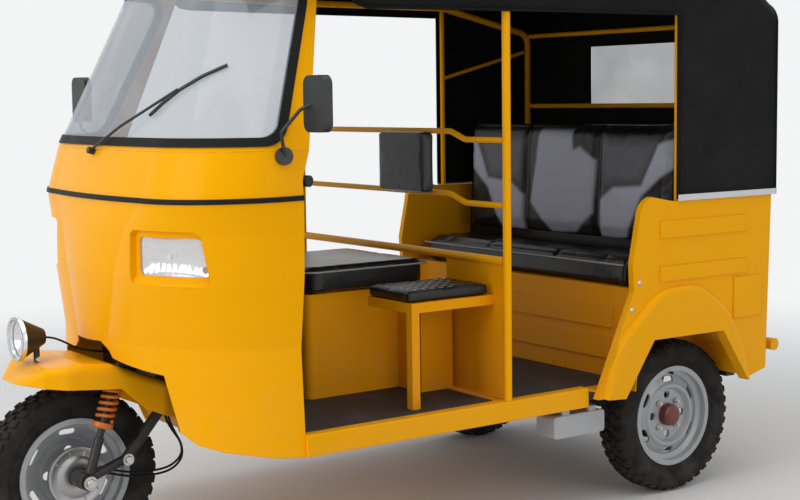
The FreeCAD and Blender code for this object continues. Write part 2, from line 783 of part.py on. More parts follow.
def partition():
    bars = []
    inner = float(s.pillar_x) - float(s.tube_radius) - 0.3
    y = float(s.partition_y)
    for right, left, radius in PARTITION_BARS:
        if right == left:
            bars.append(tube([Vector(-inner, y, right), Vector(inner, y, left)], radius))
        else:
            bars.append(tube([Vector(-inner, y, right), Vector(310, y, right), Vector(385, y, left),
                              Vector(inner, y, left)], radius, 40))
    keep("partition_bars", feature(Part.makeCompound(bars)))
    sheet_y = s.partition_y - 2
    bar_bottom = 834 - 12.5
    plate = panel("partition", "XZ_Plane", (
        (284, mat_top), (s.pillar_x - s.tube_radius - 0.3, mat_top),
        (s.pillar_x - s.tube_radius - 0.3, bar_bottom), (284, bar_bottom)), sheet_y, sheet_y + 4)
    keep("partition_panel", plate)


# Seats

def driver_seat():
    back = s.partition_y - 16
    base = panel("driver_base", "YZ_Plane", (
        (-369, mat_top), (back, mat_top), (back, s.driver_seat_height),
        (-369, s.driver_seat_height)), Size(-206, "(0 - 206)"), Size(206, "206"))
    rounded(base, lambda e: along(Z)(e) and e.CenterOfMass.y < -300, 24)
    pad(base, "YZ_Plane", ((-32, mat_top), (back, mat_top), (back, 690), (-32, 690)),
        Size(200, "200"), Size(330, "330"))
    keep("driver_seat_base", base)
    low = s.driver_seat_height + s.seam
    cushion = panel("driver_pad", "XY_Plane", (
        (-s.driver_half_width, -396), (s.driver_half_width, -396),
        (s.driver_half_width, back), (-s.driver_half_width, back)), low, low + 84)
    rounded(cushion, along(Z), 60)
    keep("driver_cushion", cushion)
    rest = panel("driver_rest", "XZ_Plane", (
        (-20, 1024), (242, 1024), (242, 1222), (-20, 1222)), s.partition_y - 56, s.partition_y - s.bar_radius - s.seam)
    rounded(rest, along(Y), 18)
    keep("driver_backrest", rest)


def jump_seat():
    """Small extra seat beside the driver: a frame with one leg, fixed to the partition."""
    left = 524
    right = 298
    front = -206
    back = float(s.partition_y) - 2.3
    top = 728
    deep = 30
    frame = new_body("jump_frame")
    pad(frame, "XY_Plane", ((right, front), (left, front), (left, back), (right, back)),
        Size(top - deep, str(top - deep)), Size(top, str(top)))
    pocket(frame, "XY_Plane", ((right + 25, front + 25), (left - 25, front + 25), (left - 25, back - 25),
                               (right + 25, back - 25)), Size(top - deep - 5, str(top - deep - 5)),
           Size(top + 5, str(top + 5)))
    pad(frame, "XY_Plane", ((left - 28, front), (left, front), (left, front + 28), (left - 28, front + 28)),
        mat_top, Size(top - deep, str(top - deep)))
    keep("jump_seat_frame", frame)
    cushion = panel("jump_pad", "XY_Plane", (
        (right - 8, front - 14), (left + 6, front - 14), (left + 6, back - 6), (right - 8, back - 6)),
        Size(top, str(top)) + s.seam, Size(top + 36, str(top + 36)))
    rounded(cushion, along(Z), 20)
    keep("jump_seat_cushion", cushion)


def bench():
    foot = s.bench_front_y
    board = s.bench_height
    inner = wall_inner - 1
    # side view: front panel leaning back, then the board under the seat and the luggage
    base = panel("bench", "YZ_Plane", (
        (foot, s.floor_top), (foot + 4, s.floor_top), (foot + 40, board - 4),
        (s.body_back_y - 26 - s.lid_gap, board - 4), (s.body_back_y - 26 - s.lid_gap, board), (foot + 34, board)),
        -inner, inner)
    for low, high in ((470, 540), (570, 640)):
        rib = foot + (low - 404) * 0.12
        pad(base, "YZ_Plane", ((rib - 6, low), (rib + 8, low), (rib + 16, high), (rib + 2, high)),
            -s.bench_half_width + 60, s.bench_half_width - 60)
    keep("bench_base", base)
    cushion = panel("bench_pad", "YZ_Plane", (
        (foot + 22, board + s.seam), (foot + 300, board + s.seam), (foot + 300, board + 96),
        (foot + 22, board + 100)), -s.bench_half_width, s.bench_half_width)
    rounded(cushion, lambda e: along(X)(e) and e.CenterOfMass.z > float(board) + 50, 30)
    keep("bench_cushion", cushion)
    rest = panel("bench_rest", "YZ_Plane", (
        (foot + 233, board + 110), (foot + 308.3, board + 110), (foot + 334, board + 540),
        (foot + 256, board + 540)), -s.bench_half_width, s.bench_half_width)
    rounded(rest, lambda e: along(X)(e) and e.CenterOfMass.z > float(board) + 500, 28)
    keep("bench_backrest", rest)
    back = panel("seat_back", "YZ_Plane", (
        (foot + 302, board + 0.3), (foot + 306, board + 0.3), (foot + 336, board + 500),
        (foot + 332, board + 500)), -inner, inner)
    keep("seat_back_panel", back)
    cover = panel("luggage", "XY_Plane", (
        (-inner, foot + 340), (inner, foot + 340), (inner, s.body_back_y - 26 - s.lid_gap),
        (-inner, s.body_back_y - 26 - s.lid_gap)), board, board + s.board_gauge)
    keep("luggage_board", cover)


def arch_opening():
    """Corners of the wheel's opening from its rear lower one to its front lower one."""
    a = rear_axle_y
    return (
        (a + 250, s.body_bottom - 16),
        (a + 126, s.tyre_radius * 2 + 32),
        (a - 195, s.tyre_radius * 2 + 34),
        (a - 319, s.body_bottom - 7),
    )


def side_outline():
    """Side view of the rear body: the lip, the top, the tail and the wheel's opening."""
    a = rear_axle_y
    return (
        (a - 423, s.body_bottom),
        (a - 268, s.floor_top + 300),
        (a - 273, s.body_top - 190),
        (a - 243, s.body_top - 48, -70),
        (a - 190, s.body_top + 18),
        (a - 95, s.body_top),
        (s.body_back_y, s.body_top),
        (s.body_back_y - 20, s.body_bottom + 12),
    ) + arch_opening()


# Middle of the arch's round edge: along the body from the axle, height over its lower edge
ARCH_LINE = ((-385, -4), (-345, 147), (-150, 308), (12, 313), (140, 229), (211, 106))
ARCH_BEND = 150


def arch_bulge():
    """Raised face round the wheel's opening with its round outer edge."""
    a = float(rear_axle_y)
    bottom = float(s.body_bottom)
    half = float(s.body_half_width)
    line = [(a + y, bottom + z) for y, z in ARCH_LINE]
    bent = line[:1] + [place + (ARCH_BEND,) for place in line[1:]]
    ends = [(float(y), float(z)) for y, z in arch_opening()]
    face = profile_prism(bent + ends, half - 1, half + float(s.flare))
    edge = tube([point(half, p[0], p[1]) for p in line + ends[:1]], s.flare, ARCH_BEND)
    lip = [(float(p[0]), float(p[1])) for p in side_outline()[:2]]
    back = float(s.body_back_y) - 20
    top = bottom + 420
    reach = prism("x", lip + [(lip[1][0], top), (back, top), (back, bottom + 12)] + ends,
                  half - 2, half + float(s.flare) + 1)
    return feature(face.fuse(edge).common(reach))


def quarters():
    """Rear side panel with its bulged wheel arch, ribs and inner wheel housing."""
    a = rear_axle_y
    side = new_body("quarter")
    pad(side, "YZ_Plane", side_outline(), wall_inner, s.body_half_width)
    for low, high, start, stop in ((868, 924, -156, 256), (728, 778, -156, 256), (577, 716, 191, 327)):
        pad(side, "YZ_Plane", ((a + start, low), (a + stop, low), (a + stop, high), (a + start, high)),
            s.body_half_width, s.body_half_width + 5)
    housing = new_body("housing")
    gauge = 3
    front_low = s.bench_front_y + 8
    front_high = s.bench_front_y + 32
    outer = ((front_low, s.body_bottom), (front_low + 4, 420), (front_high, 560), (front_high + 30, 582),
             (a + 122, 582), (a + 246, 470), (a + 246, s.body_bottom))
    inner = ((front_low + gauge, s.body_bottom - 1), (front_low + 4 + gauge, 420), (front_high + gauge, 559),
             (front_high + 31, 582 - gauge), (a + 121, 582 - gauge), (a + 246 - gauge, 469),
             (a + 246 - gauge, s.body_bottom - 1))
    pad(housing, "YZ_Plane", outer, s.track_half - 90, wall_inner)
    pocket(housing, "YZ_Plane", inner, s.track_half - 90 + gauge, wall_inner + 1)
    both = fused([side, housing, arch_bulge()])
    both.Refine = True
    keep("quarter_left", both)
    keep("quarter_right", mirrored(both))


def rear_body():
    """Fixed rear panel with the lid's opening, and the lid itself."""
    inner = wall_inner - 0.3
    back = panel("back", "XZ_Plane", (
        (-inner, s.body_bottom + 22), (inner, s.body_bottom + 22), (inner, s.body_top),
        (-inner, s.body_top)), s.body_back_y - 22, s.body_back_y - 18)
    gap = s.lid_gap
    pocket(back, "XZ_Plane", (
        (-s.lid_half_width - gap, s.lid_bottom - gap), (s.lid_half_width + gap, s.lid_bottom - gap),
        (s.lid_half_width + gap, s.lid_top + gap), (-s.lid_half_width - gap, s.lid_top + gap)),
        s.body_back_y - 40, s.body_back_y)
    skin_y = s.body_back_y - 18
    hinge_y = s.body_back_y - 7
    hinge_z = s.lid_top + s.hinge_rise
    fixed = [back]
    for side in (1, -1):
        low = side * 200 - 50
        fixed.append(rod("x", low, hinge_y, hinge_z, s.hinge_pin, Size(100, "100")))
        for start in (low, low + 70.3):
            fixed.append(rod("x", start, hinge_y, hinge_z, s.hinge_barrel, Size(29.7, "29.7")))
            fixed.append(block((start, start + 29.7), (skin_y, hinge_y), (hinge_z, hinge_z + s.hinge_barrel)))
        fixed.append(block((low, low + 100), (skin_y, skin_y + 3),
                           (hinge_z + s.hinge_barrel, hinge_z + 30)))
        for start in (low, low + 70.3):
            fixed.append(block((start, start + 29.7), (skin_y, skin_y + 3), (hinge_z, hinge_z + 30)))
    keep("rear_panel", fused(fixed))
    face = s.body_back_y - 26 + s.lid_gauge
    lid = panel("lid", "XZ_Plane", (
        (-s.lid_half_width, s.lid_bottom), (s.lid_half_width, s.lid_bottom),
        (s.lid_half_width, s.lid_top), (-s.lid_half_width, s.lid_top)),
        s.body_back_y - 26, face)
    rounded(lid, along(Y), 30)
    # slots that let the engine's warm air out: height of each slot's lower edge
    for slot in range(6):
        low = s.lid_bottom + 70 + slot * 26
        pocket(lid, "XZ_Plane", ((-200, low), (200, low), (200, low + 10), (-200, low + 10)),
               s.body_back_y - 60, s.body_back_y + 40)
    pieces = [lid]
    for side in (1, -1):
        low = side * 200 - 20
        barrel = cut(rod("x", low, hinge_y, hinge_z, s.hinge_barrel, Size(40, "40")),
                     rod("x", low - 5, hinge_y, hinge_z, s.hinge_pin + s.hinge_fit, Size(50, "50")))
        leaf = block((low, low + 40), (face, face + 3), (s.lid_top - 24, hinge_z - s.hinge_pin))
        pieces += [barrel, leaf]
    keep("rear_lid", fused(pieces))


def tail_lamps():
    left = block((wall_inner - 150, wall_inner - 60), (s.body_back_y - 18, s.body_back_y + 8),
                 (s.bumper_height + 90, s.bumper_height + 230))
    both_sides("tail_lamps", left)


# Canopy: (y, half width, shoulder height, crown height) of each cross section
CANOPY_SECTIONS = (
    (-728, -172, 1704, 1728),
    (-219, -80, 1730, 1770),
    (107, -42, 1740, 1784),
    (769, 0, 1738, 1780),
    (1160, 0, 1692, 1738),
    (1243, 0, 1630, 1668),
)


def canopy_section(y, narrowing, shoulder, crown, inset):
    half = float(s.canopy_half_width) + narrowing - inset
    low = float(s.canopy_hem)
    radius = 70.0
    shoulder = shoulder - inset
    crown = crown - inset
    slant = radius * (1 - math.sqrt(0.5))
    right_low = Vector(-half, y, low)
    right_side = Vector(-half, y, shoulder - radius)
    right_mid = Vector(-half + slant, y, shoulder - slant)
    right_top = Vector(-half + radius, y, shoulder)
    left_low = Vector(half, y, low)
    left_side = Vector(half, y, shoulder - radius)
    left_mid = Vector(half - slant, y, shoulder - slant)
    left_top = Vector(half - radius, y, shoulder)
    return Part.Wire([
        Part.LineSegment(right_low, right_side).toShape(),
        Part.Arc(right_side, right_mid, right_top).toShape(),
        Part.Arc(right_top, Vector(0, y, crown), left_top).toShape(),
        Part.Arc(left_top, left_mid, left_side).toShape(),
        Part.LineSegment(left_side, left_low).toShape(),
        Part.LineSegment(left_low, right_low).toShape(),
    ])


def canopy():
    gauge = float(s.canopy_gauge)
    outer = Part.makeLoft([canopy_section(*row, 0.0) for row in CANOPY_SECTIONS], True, True)
    hollow = list(CANOPY_SECTIONS[:-1]) + [(1243 - gauge,) + CANOPY_SECTIONS[-1][1:]]
    inner = Part.makeLoft([canopy_section(*row, gauge) for row in hollow], True, True)
    cloth = outer.cut(inner)
    halves = []
    for hem in (s.valance, s.right_valance):
        kept = profile_prism((
            (-1000, s.brim), (-430, s.brim), (-390, hem, 30), (s.canopy_side_y, hem, 40),
            (s.canopy_side_y, 900), (1300, 900), (1300, 1900), (-1000, 1900)), 0, WIDE)
        halves.append(cloth.common(kept))
    cloth = halves[0].fuse(halves[1].mirror(Vector(), X)).removeSplitter()
    window = prism("y", ((-268, 1290), (268, 1290), (268, 1514), (-268, 1514)), 1180, 1300)
    keep("canopy", feature(cloth.cut(window)))
    pane = block((Size(-267.7, "(0 - 267.7)"), Size(267.7, "267.7")),
                 (s.canopy_back_y - 3, s.canopy_back_y - 1),
                 (Size(1290.3, "1290.3"), Size(1513.7, "1513.7")))
    keep("rear_window", pane)
    strip = block((s.canopy_half_width, s.canopy_half_width + 3), (s.canopy_side_y, s.canopy_back_y),
                  (s.canopy_hem - 6, s.canopy_hem + 14))
    both_sides("canopy_strips", strip)


def bumper():
    y = s.body_back_y + 72
    bar = rod("x", -s.bumper_half, y, s.bumper_height, s.bumper_radius, s.bumper_half * 2)
    stays = []
    for side in (1, -1):
        x = side * s.rail_half
        stays.append(block((x - 20, x + 20), (rear_axle_y + 340, y), (s.floor_top - 54, s.floor_top - 14)))
        stays.append(block((x - 20, x + 20), (y - 15, y + 10), (s.floor_top - 54, s.bumper_height)))
        stays.append(rod("x", x - 20, y, s.bumper_height, s.bumper_radius + 5, Size(40, "40")))
    caps = [rod("x", s.bumper_half, y, s.bumper_height, s.bumper_radius, 12),
            rod("x", -s.bumper_half - 12, y, s.bumper_height, s.bumper_radius, 12)]
    keep("rear_bumper", fused([bar] + stays + caps))


# Drive and running gear

def engine():
    keep("engine_block", block((-s.engine_half, s.engine_half), (engine_front, engine_back),
                               (s.engine_bottom, s.engine_top)))
    y = rear_axle_y + 310
    low = s.engine_bottom + 58
    muffler = rod("x", Size(-160, "(0 - 160)"), y, low, Size(50, "50"), Size(320, "320"))
    inlet = rod("y", Size(100, "100"), engine_back + s.seam, low, Size(16, "16"), Size(30, "30"))
    pipe = feature(tube([point(-120, y, low), point(-250, y, low), point(-250, y + 110, low - 20)], 14, 40))
    hangers = [block((x, x + 20), (y - 45, y - 25), (low + 10, s.floor_top - s.floor_gauge - 40 - s.seam))
               for x in (Size(-110, "(0 - 110)"), Size(90, "90"))]
    keep("exhaust", fused([muffler, inlet, pipe] + hangers))


def rear_running_gear():
    """Trailing arm with its stub axle and drum, and a coil spring over a damper, each side."""
    damper_x = s.rail_half + s.damper_inset
    pivot_y = rear_axle_y - 330
    pivot_z = s.floor_top - s.floor_gauge - s.rail_height / 2
    arm_shape = tube([point(damper_x, pivot_y, pivot_z), point(damper_x, rear_axle_y - 170, 300),
                      point(damper_x, rear_axle_y, axle_z)], 20, 60)
    pivot = Part.makeCylinder(24, float(s.rail_width) + 20,
                              point(s.rail_half + s.rail_width / 2 + s.seam, pivot_y, pivot_z), X)
    low = axle_z + 41
    seat = block((damper_x - 12, damper_x + 12), (damper_y - 14, damper_y + 14), (low - 24, low - s.seam))
    arm = feature(arm_shape.fuse(pivot))
    shaft = rod("x", s.engine_half + s.seam, rear_axle_y, axle_z, s.axle_radius + 3,
                s.track_half - s.engine_half - 65)
    stub = rod("x", s.track_half - 70, rear_axle_y, axle_z, s.axle_radius, Size(96, "96"))
    plate = rod("x", s.track_half - 66, rear_axle_y, axle_z, s.drum_radius, Size(6, "6"))
    left = fused([arm, seat, shaft, stub, plate])
    both_sides("rear_axle_arms", left)
    damper = rod("z", damper_x, damper_y, low, Size(15, "15"), damper_top - low)
    spring = feature(coil(point(damper_x, damper_y, low + 60), Z, float(damper_top - low) - 70,
                          float(s.spring_inner), float(s.spring_wire), 7))
    both_sides("rear_dampers", fused([damper, spring]))


def coil(base, lean, height, inner, wire, turns):
    """Coil spring shown by its turns, as one revolved solid along a direction."""
    pitch = height / turns
    edges = [Part.LineSegment(Vector(0, 0, 0), Vector(inner, 0, 0)).toShape()]
    for turn in range(turns):
        low = Vector(inner, 0, pitch * turn)
        middle = Vector(inner + wire * 1.6, 0, pitch * (turn + 0.5))
        high = Vector(inner, 0, pitch * (turn + 1))
        edges.append(Part.Arc(low, middle, high).toShape())
    edges.append(Part.LineSegment(Vector(inner, 0, height), Vector(0, 0, height)).toShape())
    edges.append(Part.LineSegment(Vector(0, 0, height), Vector(0, 0, 0)).toShape())
    solid = Part.Face(Part.Wire(edges)).revolve(Vector(), Z, 360)
    solid.Placement = Placement(base, Rotation(Z, lean))
    return solid


def side_box():
    """Light grey box under the left sill."""
    box = panel("tray", "YZ_Plane", (
        (292, 260), (504, 260), (504, s.sill_bottom - 17), (292, s.sill_bottom - 17)),
        s.sill_inner - 62, s.sill_inner + 22)
    rounded(box, along(X), 10)
    # two lugs that hang the box from the sill
    for start in (330, 440):
        pad(box, "XY_Plane", ((s.sill_inner + 4, start), (s.sill_inner + 18, start),
                              (s.sill_inner + 18, start + 30), (s.sill_inner + 4, start + 30)),
            s.sill_bottom - 24, s.sill_bottom - s.seam)
    keep("under_floor_box", box)


# Wheels: revolved sections, then holes and tread blocks

def wheel(name, x, y, faces_right=False):
    """A tyre and a pressed steel wheel, both turning about an axle along X."""
    radius = float(s.tyre_radius)
    half = float(s.tyre_width) / 2
    flange = float(s.rim_radius)
    bead = flange - float(s.rim_depth) + float(s.rim_gauge) + float(s.seam)
    crown = radius - float(s.lug_depth)
    rim_half = float(s.rim_width) / 2 - float(s.rim_gauge) - float(s.seam)
    wall = float(s.tyre_wall)
    # half section of the carcass: (across, radius)
    outside = ((rim_half, bead), (rim_half, flange + 1), (half - 4, bead + 36), (half, bead + 56),
               (half, crown - 34), (half - 14, crown - 8), (0, crown))
    inside = ((0, crown - wall - 4), (half - 22, crown - wall - 12), (half - wall, crown - 40),
              (half - wall, bead + 52), (rim_half - wall, bead + 20), (rim_half - wall, bead))
    carcass = revolved(order_section(outside, inside))
    lugs = []
    count = 26
    block_long = 2 * math.pi * radius / count - float(s.lug_gap)
    for step in range(count):
        for row, shift in ((0.5, 0.0), (-0.5, 0.5)):
            angle = 360.0 * (step + shift) / count
            lug = Part.makeBox(half * 0.78, block_long, 14)
            lug.translate(Vector((0.06 if row > 0 else -0.84) * half, -block_long / 2, crown - 9))
            lug.rotate(Vector(), X, angle)
            lugs.append(lug)
    outer = Part.makeCylinder(radius, 4 * half, Vector(-2 * half, 0, 0), X)
    treads = Part.makeCompound([lug.common(outer) for lug in lugs])
    tyre = feature(carcass.fuse(treads.Solids))
    disc = feature(steel_wheel())
    for label, thing in ((name + "_tyre", tyre), (name + "_wheel", disc)):
        if faces_right:
            thing.Placement = Placement(Vector(), Rotation(Z, 180))
        place(thing, x, y, axle_z)
        keep(label, thing)


def order_section(outside, inside):
    """Whole closed section from its right half, outside then inside."""
    right = list(outside[:-1])
    left = [(-a, r) for a, r in reversed(right)]
    inner_right = list(inside)
    inner_left = [(-a, r) for a, r in reversed(inner_right)]
    loop = right + [outside[-1]] + left + inner_left[:-1] + inner_right
    return loop


def revolved(loop):
    points = [Vector(a, 0, r) for a, r in loop]
    face = Part.Face(Part.makePolygon(points + points[:1]))
    return face.revolve(Vector(), X, 360)


def obround(radius, reach, circle):
    """Cutter for a slot that runs round the wheel, centred above the axle."""
    middle = Part.makeBox(80, 2 * reach, 2 * radius, Vector(-20, -reach, circle - radius))
    ends = [Part.makeCylinder(radius, 80, Vector(-20, side * reach, circle), X) for side in (1, -1)]
    return middle.fuse(ends)


def steel_wheel():
    """Rim with a drop centre, and a dished disc with slots, a hub and stud holes."""
    flange = float(s.rim_radius)
    seat = flange - float(s.rim_depth)
    well = seat - 16
    half = float(s.rim_width) / 2
    gauge = float(s.rim_gauge)
    hub = float(s.hub_radius)
    rim = revolved((
        (half, flange), (half - gauge, flange), (half - gauge, seat + gauge), (20, seat + gauge),
        (12, well + gauge), (-12, well + gauge), (-20, seat + gauge), (-half + gauge, seat + gauge),
        (-half + gauge, flange), (-half, flange), (-half, seat), (-20 - gauge, seat), (-12 - gauge, well),
        (12 + gauge, well), (20 + gauge, seat), (half, seat)))
    bore = float(s.axle_radius) + float(s.axle_fit)
    disc = revolved((
        (10, well + 1), (24, hub + 50), (31, hub + 43), (31, hub + 34), (14, hub + 24), (14, bore), (4, bore),
        (4, hub + 27), (21, hub + 37), (21, hub + 41), (0, well + 1)))
    cap = revolved(((14, bore), (28, bore), (28, 0), (44, 0), (44, 27), (40, 33), (14, 36)))
    boss = revolved(((4, bore), (4, 34), (-30, 34), (-30, bore)))
    body = rim.fuse([disc, cap, boss])
    holes = []
    for turn in range(6):
        slot = obround(float(s.slot_radius), float(s.slot_reach), float(s.slot_circle))
        slot.rotate(Vector(), X, 60.0 * turn)
        holes.append(slot)
    for radius, circle, start in ((s.stud_hole, s.stud_circle, 45), (s.vent_hole, s.vent_circle, 0)):
        for turn in range(4):
            hole = Part.makeCylinder(float(radius), 80, Vector(-20, 0, float(circle)), X)
            hole.rotate(Vector(), X, start + 90.0 * turn)
            holes.append(hole)
    return body.cut(holes)


def wheels():
    wheel("front", Size(0, "0"), s.front_axle_y, faces_right=True)
    wheel("rear_left", s.track_half, rear_axle_y)
    right_tyre = keep("rear_right_tyre", mirrored(parts["rear_left_tyre"]))
    right_wheel = keep("rear_right_wheel", mirrored(parts["rear_left_wheel"]))
    return right_tyre, right_wheel


# Steered front end, straight ahead

STEM_TOP = 1045.0
EYE_RADIUS = 24.0


def block_shape(x, y, z):
    """Plain box between the low and high values of each axis."""
    return Part.makeBox(float(x[1] - x[0]), float(y[1] - y[0]), float(z[1] - z[0]),
                        Vector(float(x[0]), float(y[0]), float(z[0])))


def fork_leg(margin):
    """Leg beside the wheel, from the crown to the link's pivot."""
    shoulder = axis_point(600)
    x = float(s.strut_x) - 20
    pivot = point(x, s.front_axle_y + 128, 300)
    return tube([shoulder, point(x, shoulder.y + 14, 580), point(x, shoulder.y + 8, 430), pivot], 16 + margin, 36)


def fork_arm(margin):
    """Arm from the crown to the top of the front spring."""
    y = float(s.front_axle_y)
    return tube([axis_point(612), point(s.strut_x, y + 130, 596), point(s.strut_x, y + 98, 566)], 14 + margin, 20)


def front_fork():
    """Stem, crown, one leg beside the wheel, trailing link, stub axle and brake plate."""
    crown_z = NECK_LOW - 3
    stem = on_axis(590, s.stem_radius, STEM_TOP)
    collar = on_axis(606, 32, crown_z)
    x = float(s.strut_x) - 20
    y = float(s.front_axle_y)
    axle = point(x, y, axle_z)
    pivot = point(x, y + 128, 300)
    leg = fork_leg(0)
    link = tube([pivot, axle], 14)
    top_arm = fork_arm(0)
    stub = Part.makeCylinder(float(s.axle_radius), x + 26, point(-26, y, axle_z), X)
    eye = Part.makeCylinder(EYE_RADIUS, 40, point(x - 12, y, axle_z), X)
    plate = Part.makeCylinder(float(s.drum_radius) - 4, 8, point(49, y, axle_z), X)
    sleeve = Part.makeCylinder(26, x - 49, point(49, y, axle_z), X)
    foot = [(-880, ridge_height(-880) + s.seam), (-850, ridge_height(-850) + s.seam), (-850, 612), (-880, 612)]
    bracket = prism("x", foot, -24, 24).cut(on_axis(500, 1, 501))
    clip = block_shape((x + 8, x + 28), (y + 232, y + 260), (446, 462))
    anchor = block_shape((57, 70), (y + 14, y + 38), (252, 282))
    pieces = [collar, leg, link, top_arm, stub, eye, plate, sleeve, bracket, clip, anchor]
    keep("front_fork", feature(stem.fuse(pieces)))


def front_spring():
    """Coil over damper beside the wheel, from the fork's crown to the axle."""
    axle = point(s.strut_x, s.front_axle_y, axle_z)
    top = point(s.strut_x, s.front_axle_y + 96, 551.5)
    lean = (top - axle).normalize()
    low = axle + lean * (EYE_RADIUS + float(s.seam))
    reach = (top - low).Length
    damper = Part.makeCylinder(13, reach, low, lean)
    spring_low = 148.0
    spring = coil(low + lean * spring_low, lean, reach - 8 - spring_low, 22, 5.5, 6)
    cap = Part.makeCylinder(30, 18, low + lean * (spring_low - 16), lean)
    keep("front_spring", feature(damper.fuse([spring, cap])))


# Front mudguard, side view of its ridge: (y from the axle, z) from the tip backwards
FENDER_RIDGE = ((-175, 548), (-108, 592), (-16, 600), (75, 588), (172, 547), (267, 511), (300, 430), (312, 363))
FENDER_HEM = ((298, 352), (282, 400), (172, 448), (98, 516), (-92, 535), (-172, 546))


FENDER_ROUND = 24.0


def height_on(line, y):
    """Height at a place along an open line of (y, z) points."""
    for first, last in zip(line, line[1:]):
        if first[0] - 0.1 <= y <= last[0] + 0.1:
            return first[1] + (last[1] - first[1]) * (y - first[0]) / (last[0] - first[0])
    return line[0][1]


def ridge_height(y):
    """Height of the mudguard's ridge at a place along the vehicle."""
    return height_on([(float(s.front_axle_y) + step, z) for step, z in FENDER_RIDGE], y)


def fender():
    half = float(s.fender_half)
    gauge = float(s.fender_gauge)
    a = float(s.front_axle_y)
    ridge = [(a + y, z) for y, z in FENDER_RIDGE]
    hem = [(a + y, z) for y, z in FENDER_HEM]
    solid = prism("x", ridge + hem, -half, half).common(fender_plan(0))
    solid = solid.makeFillet(FENDER_ROUND, [e for e in solid.Edges if upper_side_edge(e, ridge)])
    lower = inward(ridge, gauge)
    below = [(lower[-1][0], 200), (lower[0][0], 200)]
    hollow = prism("x", lower + below, -half, half).common(fender_plan(gauge))
    shoulders = [e for e in hollow.Edges if upper_side_edge(e, lower)]
    hollow = hollow.makeFillet(FENDER_ROUND - gauge, shoulders)
    shell = solid.cut(hollow).cut(fork_leg(float(s.seam))).cut(fork_arm(float(s.seam)))
    keep("front_fender", feature(shell))


def fender_plan(inset):
    """Everything within the mudguard's outline as seen from above, less an inset."""
    half = float(s.fender_half)
    a = float(s.front_axle_y)
    left = ((0.62 * half, 330), (0.62 * half, 318), (half, 236), (half, -60), (0.8 * half, -120),
            (0.3 * half, -178))
    points = [Vector(x, a + y, 150) for x, y in left] + [Vector(-x, a + y, 150) for x, y in reversed(left)]
    outline = Part.makePolygon(points + points[:1])
    if inset:
        outline = outline.makeOffset2D(-inset, 2)
    column = Part.Face(outline).extrude(Vector(0, 0, 600))
    upright = [e for e in column.Edges if along(Z)(e) and abs(abs(e.CenterOfMass.x) - half + inset) < 1]
    return column.makeFillet(40 - inset, upright)


def inward(line, distance):
    """An open line of (y, z) points moved down and forward by a distance, corners mitred."""
    moved = []
    for index, (y, z) in enumerate(line):
        before = line[max(index - 1, 0)]
        after = line[min(index + 1, len(line) - 1)]
        run, rise = after[0] - before[0], after[1] - before[1]
        length = math.hypot(run, rise)
        moved.append((y + distance * rise / length, z - distance * run / length))
    return moved


def upper_side_edge(edge, ridge):
    """True on the edges between the top of a mudguard and its sides."""
    first, last = edge.Vertexes[0].Point, edge.Vertexes[-1].Point
    if (first.x > 0) != (last.x > 0) or abs(first.y - last.y) < 0.5:
        return False
    return all(abs(corner.z - height_on(ridge, corner.y)) < 0.5 for corner in (first, last))


def fender_lamp():
    """Round lamp on a short bracket at the front of the mudguard."""
    y = float(s.front_axle_y) - 148
    z = 664.0
    r = float(s.lamp_radius)
    bowl = Part.makeCylinder(r, 14, Vector(0, y, z), Y)
    cone = Part.makeCone(r - 3, 22, 70, Vector(0, y + 14, z), Y)
    foot_y = y + 62
    foot_z = ridge_height(foot_y) + 1.2
    foot = Part.makeCylinder(9, 650 - foot_z, Vector(0, foot_y, foot_z), Z)
    rebate = Part.makeCylinder(r - 5, 5, Vector(0, y - 0.01, z), Y)
    hollow = Part.makeCone(r - 5, 30, 40, Vector(0, y + 4.9, z), Y)
    shell = bowl.fuse([cone, foot]).cut(rebate.fuse(hollow))
    keep("fender_lamp", feature(shell))
    lens = Part.makeCylinder(r - 5.3, 3, Vector(0, y + 1, z), Y)
    keep("fender_lamp_lens", feature(lens))


def handlebar():
    centre = axis_point(1062)
    bar = tube([point(-372, -455, 1092), point(-230, -500, 1096), centre + Vector(-70, 0, 4),
                centre + Vector(70, 0, 4), point(230, -500, 1096), point(372, -455, 1092)], 11, 50)
    grips = []
    for side in (1, -1):
        inner = point(side * 262, -490, 1095.2)
        outer = point(side * 374, -454.4, 1092)
        grips.append(tube([inner, outer], 17))
    clamp = on_axis(STEM_TOP + 0.3, 30, 1076)
    lever = tube([point(246, -494, 1096), point(282, -536, 1092), point(372, -500, 1088)], 5, 14)
    twin = lever.mirror(Vector(), X)
    keep("handlebar", feature(bar.fuse(grips + [clamp, lever, twin])))


def mirrors():
    shells = []
    glasses = []
    # the driver's own settings: side, how far the head is swung along the body, how far up
    for side, swing, lift in ((1, 0, 0), (-1, -72, 20)):
        foot = point(side * 586.8, -667, 1176)
        stalk = tube([foot + Vector(side * 8, 0, 0), point(side * 616, -690 + swing / 2, 1240),
                      point(side * 650, -650 + swing, 1300 + lift), point(side * 668, -622 + swing, 1315 + lift)],
                     5, 20)
        disc = Part.makeCylinder(24, 12, foot, Vector(side, -0.15, 0.1))
        low, high = sorted((side * float(s.mirror_inner), side * float(s.mirror_outer)))
        case = block_shape((low, high), (-630 + swing, -606 + swing), (1240 + lift, 1390 + lift))
        case = case.makeFillet(26, [e for e in case.Edges if along(Y)(e)])
        shells.append(stalk.fuse([disc, case]))
        glass = block_shape((low + 8, high - 8), (-605.7 + swing, -604 + swing), (1248 + lift, 1382 + lift))
        glasses.append(glass.makeFillet(18, [e for e in glass.Edges if along(Y)(e)]))
    keep("mirrors", feature(Part.makeCompound(shells)))
    keep("mirror_glasses", feature(Part.makeCompound(glasses)))


